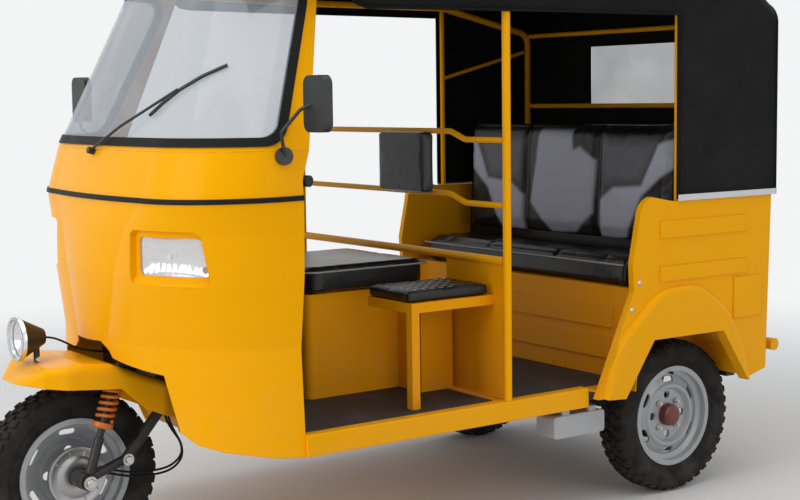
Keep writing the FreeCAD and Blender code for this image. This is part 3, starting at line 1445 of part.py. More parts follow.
def outside_y(x, z):
    """Outer face of the front body or of the screen at a place in front view."""
    for low, high in zip(NOSE_SECTIONS + SCREEN_SECTIONS[1:], NOSE_SECTIONS[1:] + SCREEN_SECTIONS[1:]):
        if low[0] <= z <= high[0]:
            share = (z - low[0]) / (high[0] - low[0])
            row = [first + share * (last - first) for first, last in zip(low, high)]
            break
    narrowing, corner_y, crown, radius = row[1:]
    across = abs(x) - (float(s.cowl_half_width) + narrowing - radius)
    if across <= 0:
        centre = float(s.cowl_half_width) + narrowing - radius
        return corner_y - crown * (1 - (x / centre) ** 2)
    return corner_y + radius - math.sqrt(radius ** 2 - across ** 2)


# Points of the wiper in front view, with their distance off the glass: (x, z, off)
WIPER_ARM = ((-37, 1189, 12), (120, 1256, 24), (338, 1358, 17))
WIPER_BLADE = ((240, 1289, 9.5), (290, 1324, 10.5), (340, 1358, 11), (392, 1393, 10.5), (437, 1422, 10.5))


def wiper():
    arm = [point(x, outside_y(x, z) - off, z) for x, z, off in WIPER_ARM]
    blade = [point(x, outside_y(x, z) - off, z) for x, z, off in WIPER_BLADE]
    x, z = -37, 1184
    base = point(x, outside_y(x, z) - s.seam - 0.3, z)
    pivot = Part.makeCylinder(10, 20, base, Vector(0, -1, 0.3))
    solid = tube(arm, 4, 60).fuse([pivot, tube(blade, 5, 80)])
    keep("wiper", feature(solid))


# Cords: the front brake's two cables and the mudguard lamp's lead

def cord(points, radius):
    """Tube whose bends are as large as their two runs allow."""
    edges = []
    start = points[0]
    for before, corner, after in zip(points, points[1:], points[2:]):
        arrive = corner - before
        leave = after - corner
        turn = arrive.getAngle(leave)
        step = 0.45 * min(arrive.Length, leave.Length)
        bend = step / math.tan(turn / 2)
        print(f"bend radius {bend:.1f}")
        first = corner - arrive.normalize() * step
        last = corner + leave.normalize() * step
        inward = (leave - arrive).normalize()
        top = corner + inward * (bend / math.cos(turn / 2) - bend)
        edges.append(Part.LineSegment(start, first).toShape())
        edges.append(Part.Arc(first, top, last).toShape())
        start = last
    edges.append(Part.LineSegment(start, points[-1]).toShape())
    path = Part.Wire(edges)
    ahead = (points[1] - points[0]).normalize()
    ring = Part.Wire([Part.Circle(points[0], ahead, float(radius)).toShape()])
    solid = path.makePipeShell([ring], True, False)
    print(f"length {path.Length:.1f}, volume ratio {solid.Volume / path.Length / math.pi / float(radius) ** 2:.4f}")
    return solid


# Route of a brake cable, from the clip on the fork leg to its anchor on the brake plate:
# (across, along from the front axle, up)
CABLE_ROUTE = ((130, 242, 445.7), (130, 246, 405), (131, 268, 366), (128, 296, 328), (118, 304, 286),
               (106, 272, 254), (95, 226, 246), (86, 178, 246), (78, 132, 254), (71, 94, 266),
               (63, 64, 272), (62, 38.3, 272))
# the second cable's way off the first: (across, along, up) at the clip and at the anchor
CABLE_SHIFTS = (((0, 0, 0), (0, 0, 0)), ((0, 9.5, 0), (0, 0, -12)))


def brake_cables():
    cables = []
    for start, end in CABLE_SHIFTS:
        points = []
        for index, (x, y, z) in enumerate(CABLE_ROUTE):
            share = max(0.0, min(1.0, (index - 1) / 3.0))
            shift = [first + share * (last - first) for first, last in zip(start, end)]
            points.append(point(x + shift[0], s.front_axle_y + y + shift[1], z + shift[2]))
        cables.append(cord(points, s.cable_radius))
    keep("brake_cables", feature(Part.makeCompound(cables)))


# Route of the mudguard lamp's lead, from the lamp to the fork's bracket: (across, along, up)
LEAD_ROUTE = ((0, -63.7, 662), (1, -40, 659), (5, -10, 646), (10, 22, 626), (13, 60, 612), (14, 104, 604),
              (12, 146, 596), (12, 180.7, 592))


def lamp_lead():
    points = [point(x, s.front_axle_y + y, z) for x, y, z in LEAD_ROUTE]
    keep("lamp_lead", feature(cord(points, s.lead_radius)))


def brake_pedal():
    """Foot pedal on the floor in front of the driver."""
    x = -130.0
    foot = block((x - 16, x + 16), (s.cowl_back_y + 13, s.cowl_back_y + 45), (mat_top + s.seam, mat_top + 30))
    arm = feature(tube([point(x, s.cowl_back_y + 29, mat_top + 18), point(x, s.cowl_back_y + 24, mat_top + 70),
                        point(x, s.cowl_back_y + 84, mat_top + 108)], 6, 20))
    plate = feature(prism("x", ((s.cowl_back_y + 70, mat_top + 128), (s.cowl_back_y + 76, mat_top + 131),
                                (s.cowl_back_y + 98, mat_top + 87), (s.cowl_back_y + 92, mat_top + 84)),
                          x - 30, x + 30))
    keep("brake_pedal", fused([foot, arm, plate]))


def build():
    front_cowl()
    headlamps()
    windscreen()
    cowl_strip()
    dashboard()
    bulkhead()
    chassis()
    floor()
    sills()
    cabin_frame()
    partition()
    driver_seat()
    jump_seat()
    bench()
    quarters()
    rear_body()
    tail_lamps()
    canopy()
    bumper()
    engine()
    rear_running_gear()
    side_box()
    wheels()
    front_fork()
    front_spring()
    fender()
    fender_lamp()
    handlebar()
    mirrors()
    wiper()
    brake_cables()
    lamp_lead()
    brake_pedal()


def write():
    """Check every object, then write each sub-part to a file of its own."""
    doc.recompute()
    for thing in doc.Objects:
        if "Invalid" in thing.State or "Error" in thing.State:
            raise RuntimeError(f"{thing.Label} failed: {thing.State}")
    for label, thing in parts.items():
        if thing.Shape.isNull() or not thing.Shape.isValid():
            raise RuntimeError(f"{label} has no valid shape")
    os.makedirs("parts", exist_ok=True)
    for label, thing in parts.items():
        thing.Shape.exportStep(f"parts/{label}.step")


build()
write()
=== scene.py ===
import math

import bmesh
import bpy
from mathutils import Matrix, Vector, noise


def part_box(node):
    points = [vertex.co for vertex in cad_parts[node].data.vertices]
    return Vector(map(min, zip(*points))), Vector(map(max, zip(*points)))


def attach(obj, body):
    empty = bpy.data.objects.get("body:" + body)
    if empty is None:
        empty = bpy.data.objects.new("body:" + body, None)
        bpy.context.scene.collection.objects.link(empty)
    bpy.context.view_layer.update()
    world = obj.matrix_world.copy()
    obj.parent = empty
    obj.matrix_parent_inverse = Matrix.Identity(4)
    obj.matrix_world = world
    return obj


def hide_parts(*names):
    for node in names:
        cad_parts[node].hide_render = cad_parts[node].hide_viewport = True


# An auto rickshaw: yellow pressed steel, black canvas canopy, glossy vinyl seats.
# Metres. +Z is up, the vehicle faces -Y, +X is its left side.

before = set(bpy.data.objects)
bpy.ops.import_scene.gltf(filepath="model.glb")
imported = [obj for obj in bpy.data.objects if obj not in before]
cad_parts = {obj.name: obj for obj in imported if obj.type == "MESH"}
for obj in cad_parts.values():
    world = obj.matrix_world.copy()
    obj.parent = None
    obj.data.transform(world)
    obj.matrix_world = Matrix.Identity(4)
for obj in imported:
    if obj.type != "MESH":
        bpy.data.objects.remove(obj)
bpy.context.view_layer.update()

AXLE_Y = -1.061
AXLE_Z = 0.256
REAR_AXLE_Y = 0.847
HALF_TRACK = 0.51
X, Y, Z = Vector((1, 0, 0)), Vector((0, 1, 0)), Vector((0, 0, 1))


def placed(name, data):
    """A new object in the scene."""
    piece = bpy.data.objects.new(name, data)
    bpy.context.collection.objects.link(piece)
    return piece


def declared(piece, body, nodes=()):
    """Hang a piece on its body's empty, and hide the nodes it stands for."""
    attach(piece, body)
    if nodes:
        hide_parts(*nodes)
    return piece


def on_vehicle(x, along, z):
    """A place given in millimetres, along counted from the front axle."""
    return Vector((x / 1000, AXLE_Y + along / 1000, z / 1000))


# A curve's box reaches this far past its points, so it is kept small
POINT_RADIUS = 0.01


def round_line(name, points, radius, kind, sides, pieces):
    """Round cord or bead along points: NURBS bends past them, POLY goes through them."""
    data = bpy.data.curves.new(name, "CURVE")
    data.dimensions = "3D"
    data.bevel_depth = radius / POINT_RADIUS
    data.bevel_resolution = sides
    data.resolution_u = pieces
    data.use_fill_caps = True
    line = data.splines.new(kind)
    line.points.add(len(points) - 1)
    for knot, place in zip(line.points, points):
        knot.co = (*place, 1)
        knot.radius = POINT_RADIUS
    line.use_smooth = True
    line.order_u = 3
    line.use_endpoint_u = True
    return placed(name, data)


# The view

def set_camera():
    """The photograph's own viewpoint."""
    data = bpy.data.cameras.new("photo_view")
    data.sensor_width = 36
    data.lens = 65.43
    data.shift_x = -0.00075
    data.shift_y = -0.0060
    camera = placed("photo_view", data)
    turn = Matrix.Rotation(math.radians(54.678), 4, "Z")
    dip = Matrix.Rotation(math.radians(90 - 5.789), 4, "X")
    roll = Matrix.Rotation(math.radians(-0.770), 4, "Z")
    camera.matrix_world = Matrix.Translation((3.9398, -2.6629, 1.3277)) @ turn @ dip @ roll
    bpy.context.scene.camera = camera


set_camera()


# Cords. Each route is (across, along from the front axle, up)

CABLE_ROUTE = (
    (130, 242, 445.7), (130, 246, 405), (131, 268, 366), (128, 296, 328), (118, 304, 286),
    (106, 272, 254), (95, 226, 246), (86, 178, 246), (78, 132, 254), (71, 94, 266), (63, 64, 272),
    (62, 38.3, 272))
LEAD_ROUTE = (
    (0, -63.7, 662), (1, -40, 659), (5, -10, 646), (10, 22, 626), (13, 60, 612), (14, 104, 604),
    (12, 146, 596), (12, 180.7, 592))
# How far the second cable's loop is shifted along and down
SECOND_LOOP = (9.5, -12)


def make_cords():
    """Both brake cables and the mudguard lamp's lead."""
    made = []
    for number, (shift, drop), length in ((1, (0, 0), 0.46), (2, SECOND_LOOP, 0.467)):
        points = []
        for index, (x, y, z) in enumerate(CABLE_ROUTE):
            share = max(0.0, min(1.0, (index - 1) / 3))
            points.append(on_vehicle(x, y + shift * (1 - share), z + drop * share))
        cable = round_line(f"brake_cable_{number}", points, 0.0035, "NURBS", 4, 10)
        declared(cable, "steering", ("brake_cables",))
        made.append(cable)
    points = [on_vehicle(*place) for place in LEAD_ROUTE]
    lead = round_line("mudguard_lamp_lead", points, 0.003, "NURBS", 4, 10)
    declared(lead, "steering", ("lamp_lead",))
    return made + [lead]


cords = make_cords()


# Effects that several finishes share

def group_tree(name, inputs, outputs):
    """An empty node group with its sockets."""
    tree = bpy.data.node_groups.new(name, "ShaderNodeTree")
    for label, value in inputs:
        socket = tree.interface.new_socket(label, in_out="INPUT", socket_type="NodeSocketFloat")
        socket.default_value = value
    for label in outputs:
        tree.interface.new_socket(label, in_out="OUTPUT", socket_type="NodeSocketFloat")
    enter = tree.nodes.new("NodeGroupInput")
    leave = tree.nodes.new("NodeGroupOutput")
    return tree, enter, leave


def add(tree, kind, operation=None, **values):
    """A node with some of its inputs set by name."""
    node = tree.nodes.new(kind)
    if operation:
        node.operation = operation
    for label, value in values.items():
        node.inputs[label.replace("_", " ")].default_value = value
    return node


def maths(tree, operation, first, second=0.0, clamp=False):
    """One Math node fed by numbers or by other nodes' outputs."""
    node = tree.nodes.new("ShaderNodeMath")
    node.operation = operation
    node.use_clamp = clamp
    for socket, value in zip(node.inputs, (first, second)):
        if isinstance(value, (int, float)):
            socket.default_value = value
        else:
            tree.links.new(value, socket)
    return node.outputs[0]


def on_piece(tree, *textures, source="Object"):
    """Feed a piece's own coordinates to texture nodes."""
    place = add(tree, "ShaderNodeTexCoord")
    for texture in textures:
        tree.links.new(place.outputs[source], texture.inputs[0])
    return textures[0]


def road_dust_group():
    """Grey dust that gathers low down: one where it lies, nought where it is clean."""
    tree, enter, leave = group_tree(
        "Road Dust", (("Reach", 0.7), ("Amount", 0.5), ("Scale", 9.0)), ("Mask",))
    split = add(tree, "ShaderNodeSeparateXYZ")
    speckle = add(tree, "ShaderNodeTexNoise", Detail=6.0, Roughness=0.65)
    on_piece(tree, split, speckle)
    low = maths(tree, "DIVIDE", split.outputs["Z"], enter.outputs["Reach"])
    low = maths(tree, "SUBTRACT", 1.0, low, clamp=True)
    tree.links.new(enter.outputs["Scale"], speckle.inputs["Scale"])
    patch = maths(tree, "SUBTRACT", speckle.outputs[0], 0.33)
    patch = maths(tree, "MULTIPLY", patch, 2.4, clamp=True)
    mask = maths(tree, "MULTIPLY", low, patch)
    mask = maths(tree, "MULTIPLY", mask, enter.outputs["Amount"], clamp=True)
    tree.links.new(mask, leave.inputs["Mask"])
    return tree


def enamel_group():
    """Sprayed enamel on pressed sheet: its orange peel, its slow waves and its cloudy tint."""
    tree, enter, leave = group_tree(
        "Enamel Surface", (("Peel Scale", 420.0), ("Wave Scale", 2.6), ("Wave Height", 0.6)),
        ("Height", "Cloud", "Scuff"))
    peel = add(tree, "ShaderNodeTexNoise", Detail=2.0)
    wave = add(tree, "ShaderNodeTexNoise", Detail=1.0)
    cloud = add(tree, "ShaderNodeTexNoise", Scale=1.7, Detail=4.0)
    scuff = add(tree, "ShaderNodeTexNoise", Scale=34.0, Detail=8.0, Roughness=0.7)
    on_piece(tree, peel, wave, cloud, scuff)
    tree.links.new(enter.outputs["Peel Scale"], peel.inputs["Scale"])
    tree.links.new(enter.outputs["Wave Scale"], wave.inputs["Scale"])
    slow = maths(tree, "MULTIPLY", wave.outputs[0], enter.outputs["Wave Height"])
    fine = maths(tree, "MULTIPLY", peel.outputs[0], 0.012)
    tree.links.new(maths(tree, "ADD", slow, fine), leave.inputs["Height"])
    tree.links.new(cloud.outputs[0], leave.inputs["Cloud"])
    worn = maths(tree, "SUBTRACT", scuff.outputs[0], 0.56)
    tree.links.new(maths(tree, "MULTIPLY", worn, 5.0, clamp=True), leave.inputs["Scuff"])
    return tree


def vinyl_group():
    """Pressed grain of seat vinyl, the slack creases in it, and patches of shine that vinyl() also
    paints lighter as painted sheen.
    """
    tree, enter, leave = group_tree(
        "Vinyl Grain", (("Grain Scale", 520.0), ("Crease Scale", 11.0), ("Crease Height", 0.5)),
        ("Height", "Shine"))
    grain = add(tree, "ShaderNodeTexVoronoi")
    crease = add(tree, "ShaderNodeTexNoise", Detail=3.0, Distortion=1.2)
    shine = add(tree, "ShaderNodeTexNoise", Scale=5.0, Detail=5.0)
    on_piece(tree, grain, crease, shine)
    tree.links.new(enter.outputs["Grain Scale"], grain.inputs["Scale"])
    tree.links.new(enter.outputs["Crease Scale"], crease.inputs["Scale"])
    slack = maths(tree, "MULTIPLY", crease.outputs[0], enter.outputs["Crease Height"])
    fine = maths(tree, "MULTIPLY", grain.outputs["Distance"], 0.05)
    tree.links.new(maths(tree, "ADD", slack, fine), leave.inputs["Height"])
    tree.links.new(shine.outputs[0], leave.inputs["Shine"])
    return tree


def weave_group():
    """Plain weave of canvas on a piece's own UV map, whose unit is a metre."""
    tree, enter, leave = group_tree("Canvas Weave", (("Threads", 620.0),), ("Height", "Thread"))
    split = on_piece(tree, add(tree, "ShaderNodeSeparateXYZ"), source="UV")
    waves = []
    for side in ("X", "Y"):
        turns = maths(tree, "MULTIPLY", split.outputs[side], enter.outputs["Threads"])
        waves.append(maths(tree, "SINE", maths(tree, "MULTIPLY", turns, 2 * math.pi)))
    over = maths(tree, "MAXIMUM", waves[0], waves[1])
    tree.links.new(over, leave.inputs["Height"])
    tree.links.new(maths(tree, "MULTIPLY", waves[0], waves[1]), leave.inputs["Thread"])
    return tree


def edge_group():
    """One on the sharp edges that get rubbed, broken up by a noise."""
    tree, enter, leave = group_tree("Rubbed Edges", (("Width", 0.002), ("Amount", 1.0)), ("Mask",))
    tree.interface.new_socket("Soft Normal", in_out="OUTPUT", socket_type="NodeSocketVector")
    round_off = add(tree, "ShaderNodeBevel")
    round_off.samples = 4
    tree.links.new(enter.outputs["Width"], round_off.inputs["Radius"])
    face = add(tree, "ShaderNodeNewGeometry")
    product = add(tree, "ShaderNodeVectorMath", "DOT_PRODUCT")
    tree.links.new(round_off.outputs[0], product.inputs[0])
    tree.links.new(face.outputs["Normal"], product.inputs[1])
    sharp = maths(tree, "SUBTRACT", 1.0, product.outputs["Value"])
    sharp = maths(tree, "MULTIPLY", sharp, 9.0, clamp=True)
    speckle = on_piece(tree, add(tree, "ShaderNodeTexNoise", Scale=60.0, Detail=6.0, Roughness=0.7))
    patch = maths(tree, "SUBTRACT", speckle.outputs[0], 0.46)
    patch = maths(tree, "MULTIPLY", patch, 6.0, clamp=True)
    mask = maths(tree, "MULTIPLY", sharp, patch)
    mask = maths(tree, "MULTIPLY", mask, enter.outputs["Amount"], clamp=True)
    tree.links.new(mask, leave.inputs["Mask"])
    tree.links.new(round_off.outputs[0], leave.inputs["Soft Normal"])
    return tree


ROAD_DUST = road_dust_group()
ENAMEL = enamel_group()
VINYL = vinyl_group()
WEAVE = weave_group()
EDGES = edge_group()


class Finish:
    """A material: one Principled shader, and what feeds it."""

    def __init__(self, name, colour, rough, **sockets):
        self.material = bpy.data.materials.new(name)
        self.material.use_nodes = True
        self.tree = self.material.node_tree
        self.shader = self.tree.nodes["Principled BSDF"]
        self.shader.inputs["Base Color"].default_value = (*colour, 1)
        self.shader.inputs["Roughness"].default_value = rough
        for label, value in sockets.items():
            self.shader.inputs[label.replace("_", " ")].default_value = value
        self.colour = None

    def group(self, tree, **values):
        """One of the shared effects, with some of its inputs set by name."""
        node = self.tree.nodes.new("ShaderNodeGroup")
        node.node_tree = tree
        for label, value in values.items():
            node.inputs[label.replace("_", " ")].default_value = value
        return node

    def texture(self, kind, **values):
        """A texture node that reads the piece's own coordinates."""
        return on_piece(self.tree, add(self.tree, kind, **values))

    def blend(self, factor, second, strength=1.0):
        """Lay a second colour over the base colour where factor is one."""
        mix = self.tree.nodes.new("ShaderNodeMix")
        mix.data_type = "RGBA"
        mix.inputs["Factor"].default_value = 0
        if self.colour is None:
            mix.inputs["A"].default_value = self.shader.inputs["Base Color"].default_value
        else:
            self.tree.links.new(self.colour, mix.inputs["A"])
        mix.inputs["B"].default_value = (*second, 1)
        factor = maths(self.tree, "MULTIPLY", factor, strength, clamp=True)
        self.tree.links.new(factor, mix.inputs["Factor"])
        self.colour = mix.outputs["Result"]
        self.tree.links.new(self.colour, self.shader.inputs["Base Color"])

    def vary(self, label, factor, low, high):
        """Let a mask or texture move one of the shader's values between two limits."""
        span = add(self.tree, "ShaderNodeMapRange", To_Min=low, To_Max=high)
        self.tree.links.new(factor, span.inputs["Value"])
        self.tree.links.new(span.outputs[0], self.shader.inputs[label])

    def bump(self, height, distance, strength=1.0, under=None):
        """Raise the surface by a height, over whatever normal it has already."""
        node = add(self.tree, "ShaderNodeBump", Distance=distance, Strength=strength)
        if under:
            self.tree.links.new(under, node.inputs["Normal"])
        self.tree.links.new(height, node.inputs["Height"])
        previous = self.shader.inputs["Normal"]
        if previous.is_linked:
            self.tree.links.new(previous.links[0].from_socket, node.inputs["Normal"])
        self.tree.links.new(node.outputs[0], previous)


DUST = (0.36, 0.33, 0.29)
RUST = (0.06, 0.05, 0.045)


def tinted(colour, times, plus=0.0):
    """A lighter or darker shade of a colour."""
    return tuple(min(1.0, c * times + plus) for c in colour)


def enamel(name, colour, rough, cloud, dust=0.35, coat=0.6, chips=RUST, shine=0.4):
    """Enamel on steel, chipped on its edges and dusty low down."""
    tint = (*tinted(colour, 0.9 / max(colour), 0.1), 1)
    finish = Finish(name, colour, rough, Coat_Weight=coat, Coat_Roughness=0.12,
                    Specular_IOR_Level=shine, Specular_Tint=tint)
    paint = finish.group(ENAMEL)
    finish.blend(paint.outputs["Cloud"], cloud, 0.55)
    edges = finish.group(EDGES, Width=0.0025, Amount=0.55)
    finish.blend(edges.outputs["Mask"], chips, 0.8)
    dirt = finish.group(ROAD_DUST, Reach=0.75, Amount=dust)
    finish.blend(dirt.outputs["Mask"], DUST)
    finish.vary("Roughness", paint.outputs["Scuff"], rough, rough + 0.16)
    finish.bump(paint.outputs["Height"], 0.002, under=edges.outputs["Soft Normal"])
    return finish.material


def vinyl(name, colour, rough):
    """Glossy seat vinyl, painted lighter in patches as painted sheen."""
    finish = Finish(name, colour, rough, Coat_Weight=0.1, Coat_Roughness=0.18, Specular_IOR_Level=0.3)
    skin = finish.group(VINYL)
    # Lighter colour where the Shine noise is high: painted sheen
    finish.blend(skin.outputs["Shine"], tinted(colour, 1.5, 0.003), 0.5)
    finish.vary("Roughness", skin.outputs["Shine"], rough - 0.06, rough + 0.14)
    finish.bump(skin.outputs["Height"], 0.004)
    return finish.material


def canvas(name, colour):
    """Coated canvas, woven and slightly faded along its folds."""
    finish = Finish(name, colour, 0.5, Specular_IOR_Level=0.07)
    threads = finish.group(WEAVE)
    fade = finish.texture("ShaderNodeTexNoise", Scale=3.1, Detail=7.0)
    finish.blend(fade.outputs[0], (0.010, 0.0105, 0.012), 0.6)
    finish.blend(threads.outputs["Thread"], (0.012, 0.012, 0.013), 0.25)
    dirt = finish.group(ROAD_DUST, Reach=2.4, Amount=0.10, Scale=6.0)
    finish.blend(dirt.outputs["Mask"], DUST, 0.5)
    finish.bump(threads.outputs["Height"], 0.0004)
    wrinkle = finish.texture("ShaderNodeTexNoise", Scale=7.0, Detail=3.0, Distortion=0.8)
    finish.bump(wrinkle.outputs[0], 0.008, 0.6)
    return finish.material


def rubber(name, colour, rough, dust):
    """Worn rubber, dusty low down."""
    finish = Finish(name, colour, rough, Specular_IOR_Level=0.09)
    wear = finish.texture("ShaderNodeTexNoise", Scale=24.0, Detail=8.0, Roughness=0.7)
    finish.blend(wear.outputs[0], tinted(colour, 2.0, 0.002), 0.6)
    dirt = finish.group(ROAD_DUST, Reach=0.8, Amount=dust, Scale=16.0)
    finish.blend(dirt.outputs["Mask"], DUST)
    finish.vary("Roughness", wear.outputs[0], rough - 0.12, rough + 0.12)
    grit = finish.texture("ShaderNodeTexNoise", Scale=700.0, Detail=3.0)
    finish.bump(grit.outputs[0], 0.0006)
    return finish.material


def moulding(name, colour, rough):
    """Moulded plastic with a fine spark-eroded texture."""
    finish = Finish(name, colour, rough)
    tone = finish.texture("ShaderNodeTexNoise", Scale=8.0, Detail=6.0)
    finish.blend(tone.outputs[0], tinted(colour, 1.5, 0.01), 0.5)
    edges = finish.group(EDGES, Width=0.0015, Amount=0.5)
    finish.blend(edges.outputs["Mask"], tinted(colour, 1.8, 0.08), 0.6)
    finish.vary("Roughness", tone.outputs[0], rough - 0.08, rough + 0.12)
    speck = finish.texture("ShaderNodeTexNoise", Scale=900.0, Detail=2.0)
    finish.bump(speck.outputs[0], 0.0004)
    return finish.material


def bright_metal(name, colour, rough, streak=0.1):
    """Plated or bare metal with fine scratches and a little tarnish."""
    finish = Finish(name, colour, rough, Metallic=1.0)
    tarnish = finish.texture("ShaderNodeTexNoise", Scale=13.0, Detail=7.0, Roughness=0.6)
    finish.blend(tarnish.outputs[0], tinted(colour, 0.62), 0.5)
    finish.vary("Roughness", tarnish.outputs[0], rough, rough + streak)
    scratch = finish.texture("ShaderNodeTexNoise", Scale=240.0, Detail=4.0)
    finish.bump(scratch.outputs[0], 0.0002)
    return finish.material


def plain_vinyl(name, colour, rough):
    """Small smooth trim with a slight change of tone."""
    finish = Finish(name, colour, rough)
    tone = finish.texture("ShaderNodeTexNoise", Scale=40.0, Detail=4.0)
    finish.blend(tone.outputs[0], tinted(colour, 0.7), 0.5)
    finish.vary("Roughness", tone.outputs[0], rough, rough + 0.15)
    return finish.material


def ramp(tree, value, low, high):
    """Nought below low, one above high, smooth between them."""
    span = add(tree, "ShaderNodeMapRange", From_Min=low, From_Max=high)
    span.interpolation_type = "SMOOTHSTEP"
    tree.links.new(value, span.inputs["Value"])
    return span.outputs[0]


def bench_vinyl(name):
    """Bench back: black borders and a pale blue-grey insert in each half, the pale partly two-tone
    vinyl and partly painted highlight, with a faint painted sheen on each side.
    """
    finish = Finish(name, (0.007, 0.007, 0.008), 0.3, Coat_Weight=0.08, Coat_Roughness=0.16,
                    Specular_IOR_Level=0.3)
    painted = finish.tree.nodes.new("ShaderNodeAttribute")
    painted.attribute_name = "insert_and_sheen"
    mask = painted.outputs["Fac"]
    # Pale blue-grey where the painted attribute is one: partly two-tone vinyl, partly painted highlight
    # and painted sheen
    finish.blend(mask, (0.40, 0.42, 0.51), 1.0)
    skin = finish.group(VINYL, Crease_Height=0.7)
    finish.vary("Roughness", skin.outputs["Shine"], 0.24, 0.42)
    finish.bump(skin.outputs["Height"], 0.006)
    return finish.material


def mat_rubber(name, colour, rough):
    """Floor mat with fine ribs along the vehicle, dusty in their grooves."""
    finish = Finish(name, colour, rough, Specular_IOR_Level=0.4)
    tree = finish.tree
    ribs = finish.texture("ShaderNodeTexWave", Scale=26.0)
    ribs.bands_direction = "X"
    ribs.wave_profile = "SIN"
    wear = finish.texture("ShaderNodeTexNoise", Scale=7.0, Detail=8.0, Roughness=0.7)
    groove = maths(tree, "SUBTRACT", 0.45, ribs.outputs["Color"], clamp=True)
    finish.blend(maths(tree, "MULTIPLY", groove, wear.outputs[0]), DUST, 0.5)
    finish.blend(ramp(tree, wear.outputs[0], 0.52, 0.72), (0.06, 0.056, 0.05), 0.6)
    finish.vary("Roughness", wear.outputs[0], rough - 0.12, rough + 0.2)
    finish.bump(ribs.outputs["Color"], 0.003)
    return finish.material


def cast_metal(name):
    """Sand-cast metal with oily patches."""
    finish = Finish(name, (0.2, 0.2, 0.2), 0.6, Metallic=0.7)
    sand = finish.texture("ShaderNodeTexNoise", Scale=160.0, Detail=6.0)
    oil = finish.texture("ShaderNodeTexNoise", Scale=9.0, Detail=6.0)
    finish.blend(oil.outputs[0], (0.03, 0.026, 0.022), 0.9)
    finish.vary("Roughness", oil.outputs[0], 0.72, 0.42)
    finish.bump(sand.outputs[0], 0.0012)
    return finish.material


def screen_glass(name, tint, rough, clear, hazy):
    """Glass with a faint film of dust and of painted reflection in blue-grey patches, whose alpha runs
    from clear to hazy.
    """
    finish = Finish(name, tint, rough, IOR=1.5, Alpha=0.24, Specular_IOR_Level=0.75)
    haze_and_reflection = finish.texture("ShaderNodeTexNoise", Scale=4.0, Detail=8.0, Roughness=0.62)
    # Blue-grey patches over the glass's tint: partly a dust film, partly painted reflection
    finish.blend(haze_and_reflection.outputs[0], (0.55, 0.60, 0.66), 0.8)
    finish.vary("Alpha", haze_and_reflection.outputs[0], clear, hazy)
    finish.vary("Roughness", haze_and_reflection.outputs[0], rough, rough + 0.14)
    return finish.material


def lamp_glass(name, tint, alpha, rib=90.0):
    """Fluted lamp lens."""
    finish = Finish(name, tint, 0.06, IOR=1.5, Alpha=alpha, Specular_IOR_Level=0.7)
    flute = finish.texture("ShaderNodeTexWave", Scale=rib, Distortion=0.4)
    flute.bands_direction = "X"
    finish.vary("Alpha", flute.outputs["Color"], alpha - 0.06, alpha + 0.1)
    finish.bump(flute.outputs["Color"], 0.0014)
    return finish.material


YELLOW = enamel("yellow_enamel", (0.90, 0.405, 0.0006), 0.3, (0.86, 0.355, 0.0005), dust=0.12,
                coat=0.04, shine=0.16)
# Darker, deeper orange copy of the body yellow for the cabin's inner panels: painted shade, not a paint
# of their own
SHADED_INNER_YELLOW = enamel("yellow_enamel_inner_shaded", (0.84, 0.35, 0.001), 0.4, (0.70, 0.25, 0.001), dust=0.2,
                      coat=0.03, shine=0.2)
BLACK_ENAMEL = enamel("black_enamel", (0.006, 0.006, 0.006), 0.4, (0.012, 0.011, 0.010), dust=0.25,
                      chips=(0.10, 0.08, 0.06), coat=0.1, shine=0.25)
SILVER_ENAMEL = enamel("silver_enamel", (0.40, 0.41, 0.43), 0.28, (0.28, 0.29, 0.31), dust=0.22,
                       chips=(0.16, 0.13, 0.1), coat=0.3, shine=0.7)
COPPER_ENAMEL = enamel("copper_enamel", (0.60, 0.17, 0.02), 0.36, (0.40, 0.09, 0.012), dust=0.15,
                       coat=0.2)
HUB_PAINT = enamel("hub_primer", (0.13, 0.022, 0.014), 0.5, (0.09, 0.014, 0.01), dust=0.2)
CANVAS = canvas("black_canvas", (0.0055, 0.0055, 0.0062))
BLACK_VINYL = vinyl("black_vinyl", (0.008, 0.008, 0.009), 0.26)
DARK_VINYL = vinyl("dark_grey_vinyl", (0.028, 0.028, 0.034), 0.3)
BENCH_VINYL = bench_vinyl("bench_back_vinyl")
PIPING = plain_vinyl("pale_piping", (0.30, 0.30, 0.30), 0.42)
MAT_RUBBER = mat_rubber("mat_rubber", (0.009, 0.009, 0.0095), 0.55)
SEAL_RUBBER = rubber("seal_rubber", (0.008, 0.008, 0.008), 0.45, 0.05)
TYRE_RUBBER = rubber("tyre_rubber", (0.007, 0.007, 0.0073), 0.62, 0.14)
BLACK_MOULDING = moulding("black_moulding", (0.009, 0.009, 0.0095), 0.38)
GREY_MOULDING = moulding("grey_moulding", (0.34, 0.35, 0.36), 0.5)
CHROME = bright_metal("chrome", (0.86, 0.86, 0.87), 0.07)
BOLT_ZINC = bright_metal("zinc_plate", (0.62, 0.61, 0.57), 0.24)
TRIM = bright_metal("trim_aluminium", (0.60, 0.61, 0.62), 0.34)
MIRROR = bright_metal("mirror_glass", (0.9, 0.91, 0.92), 0.03, streak=0.04)
CASTING = cast_metal("engine_casting")
SCREEN = screen_glass("screen_glass", (0.24, 0.28, 0.32), 0.02, 0.26, 0.58)
FILM = screen_glass("window_film", (0.80, 0.82, 0.84), 0.10, 0.3, 0.6)
LENS = lamp_glass("lamp_lens", (0.9, 0.92, 0.94), 0.16)
BULB = plain_vinyl("bulb_glass", (0.95, 0.94, 0.9), 0.1)
PLATE_CASTING = bright_metal("brake_plate_casting", (0.42, 0.42, 0.43), 0.34)
RED_LENS = lamp_glass("red_lens", (0.36, 0.006, 0.005), 0.92, rib=160.0)
AMBER = lamp_glass("amber_lens", (0.62, 0.12, 0.006), 0.94, rib=160.0)

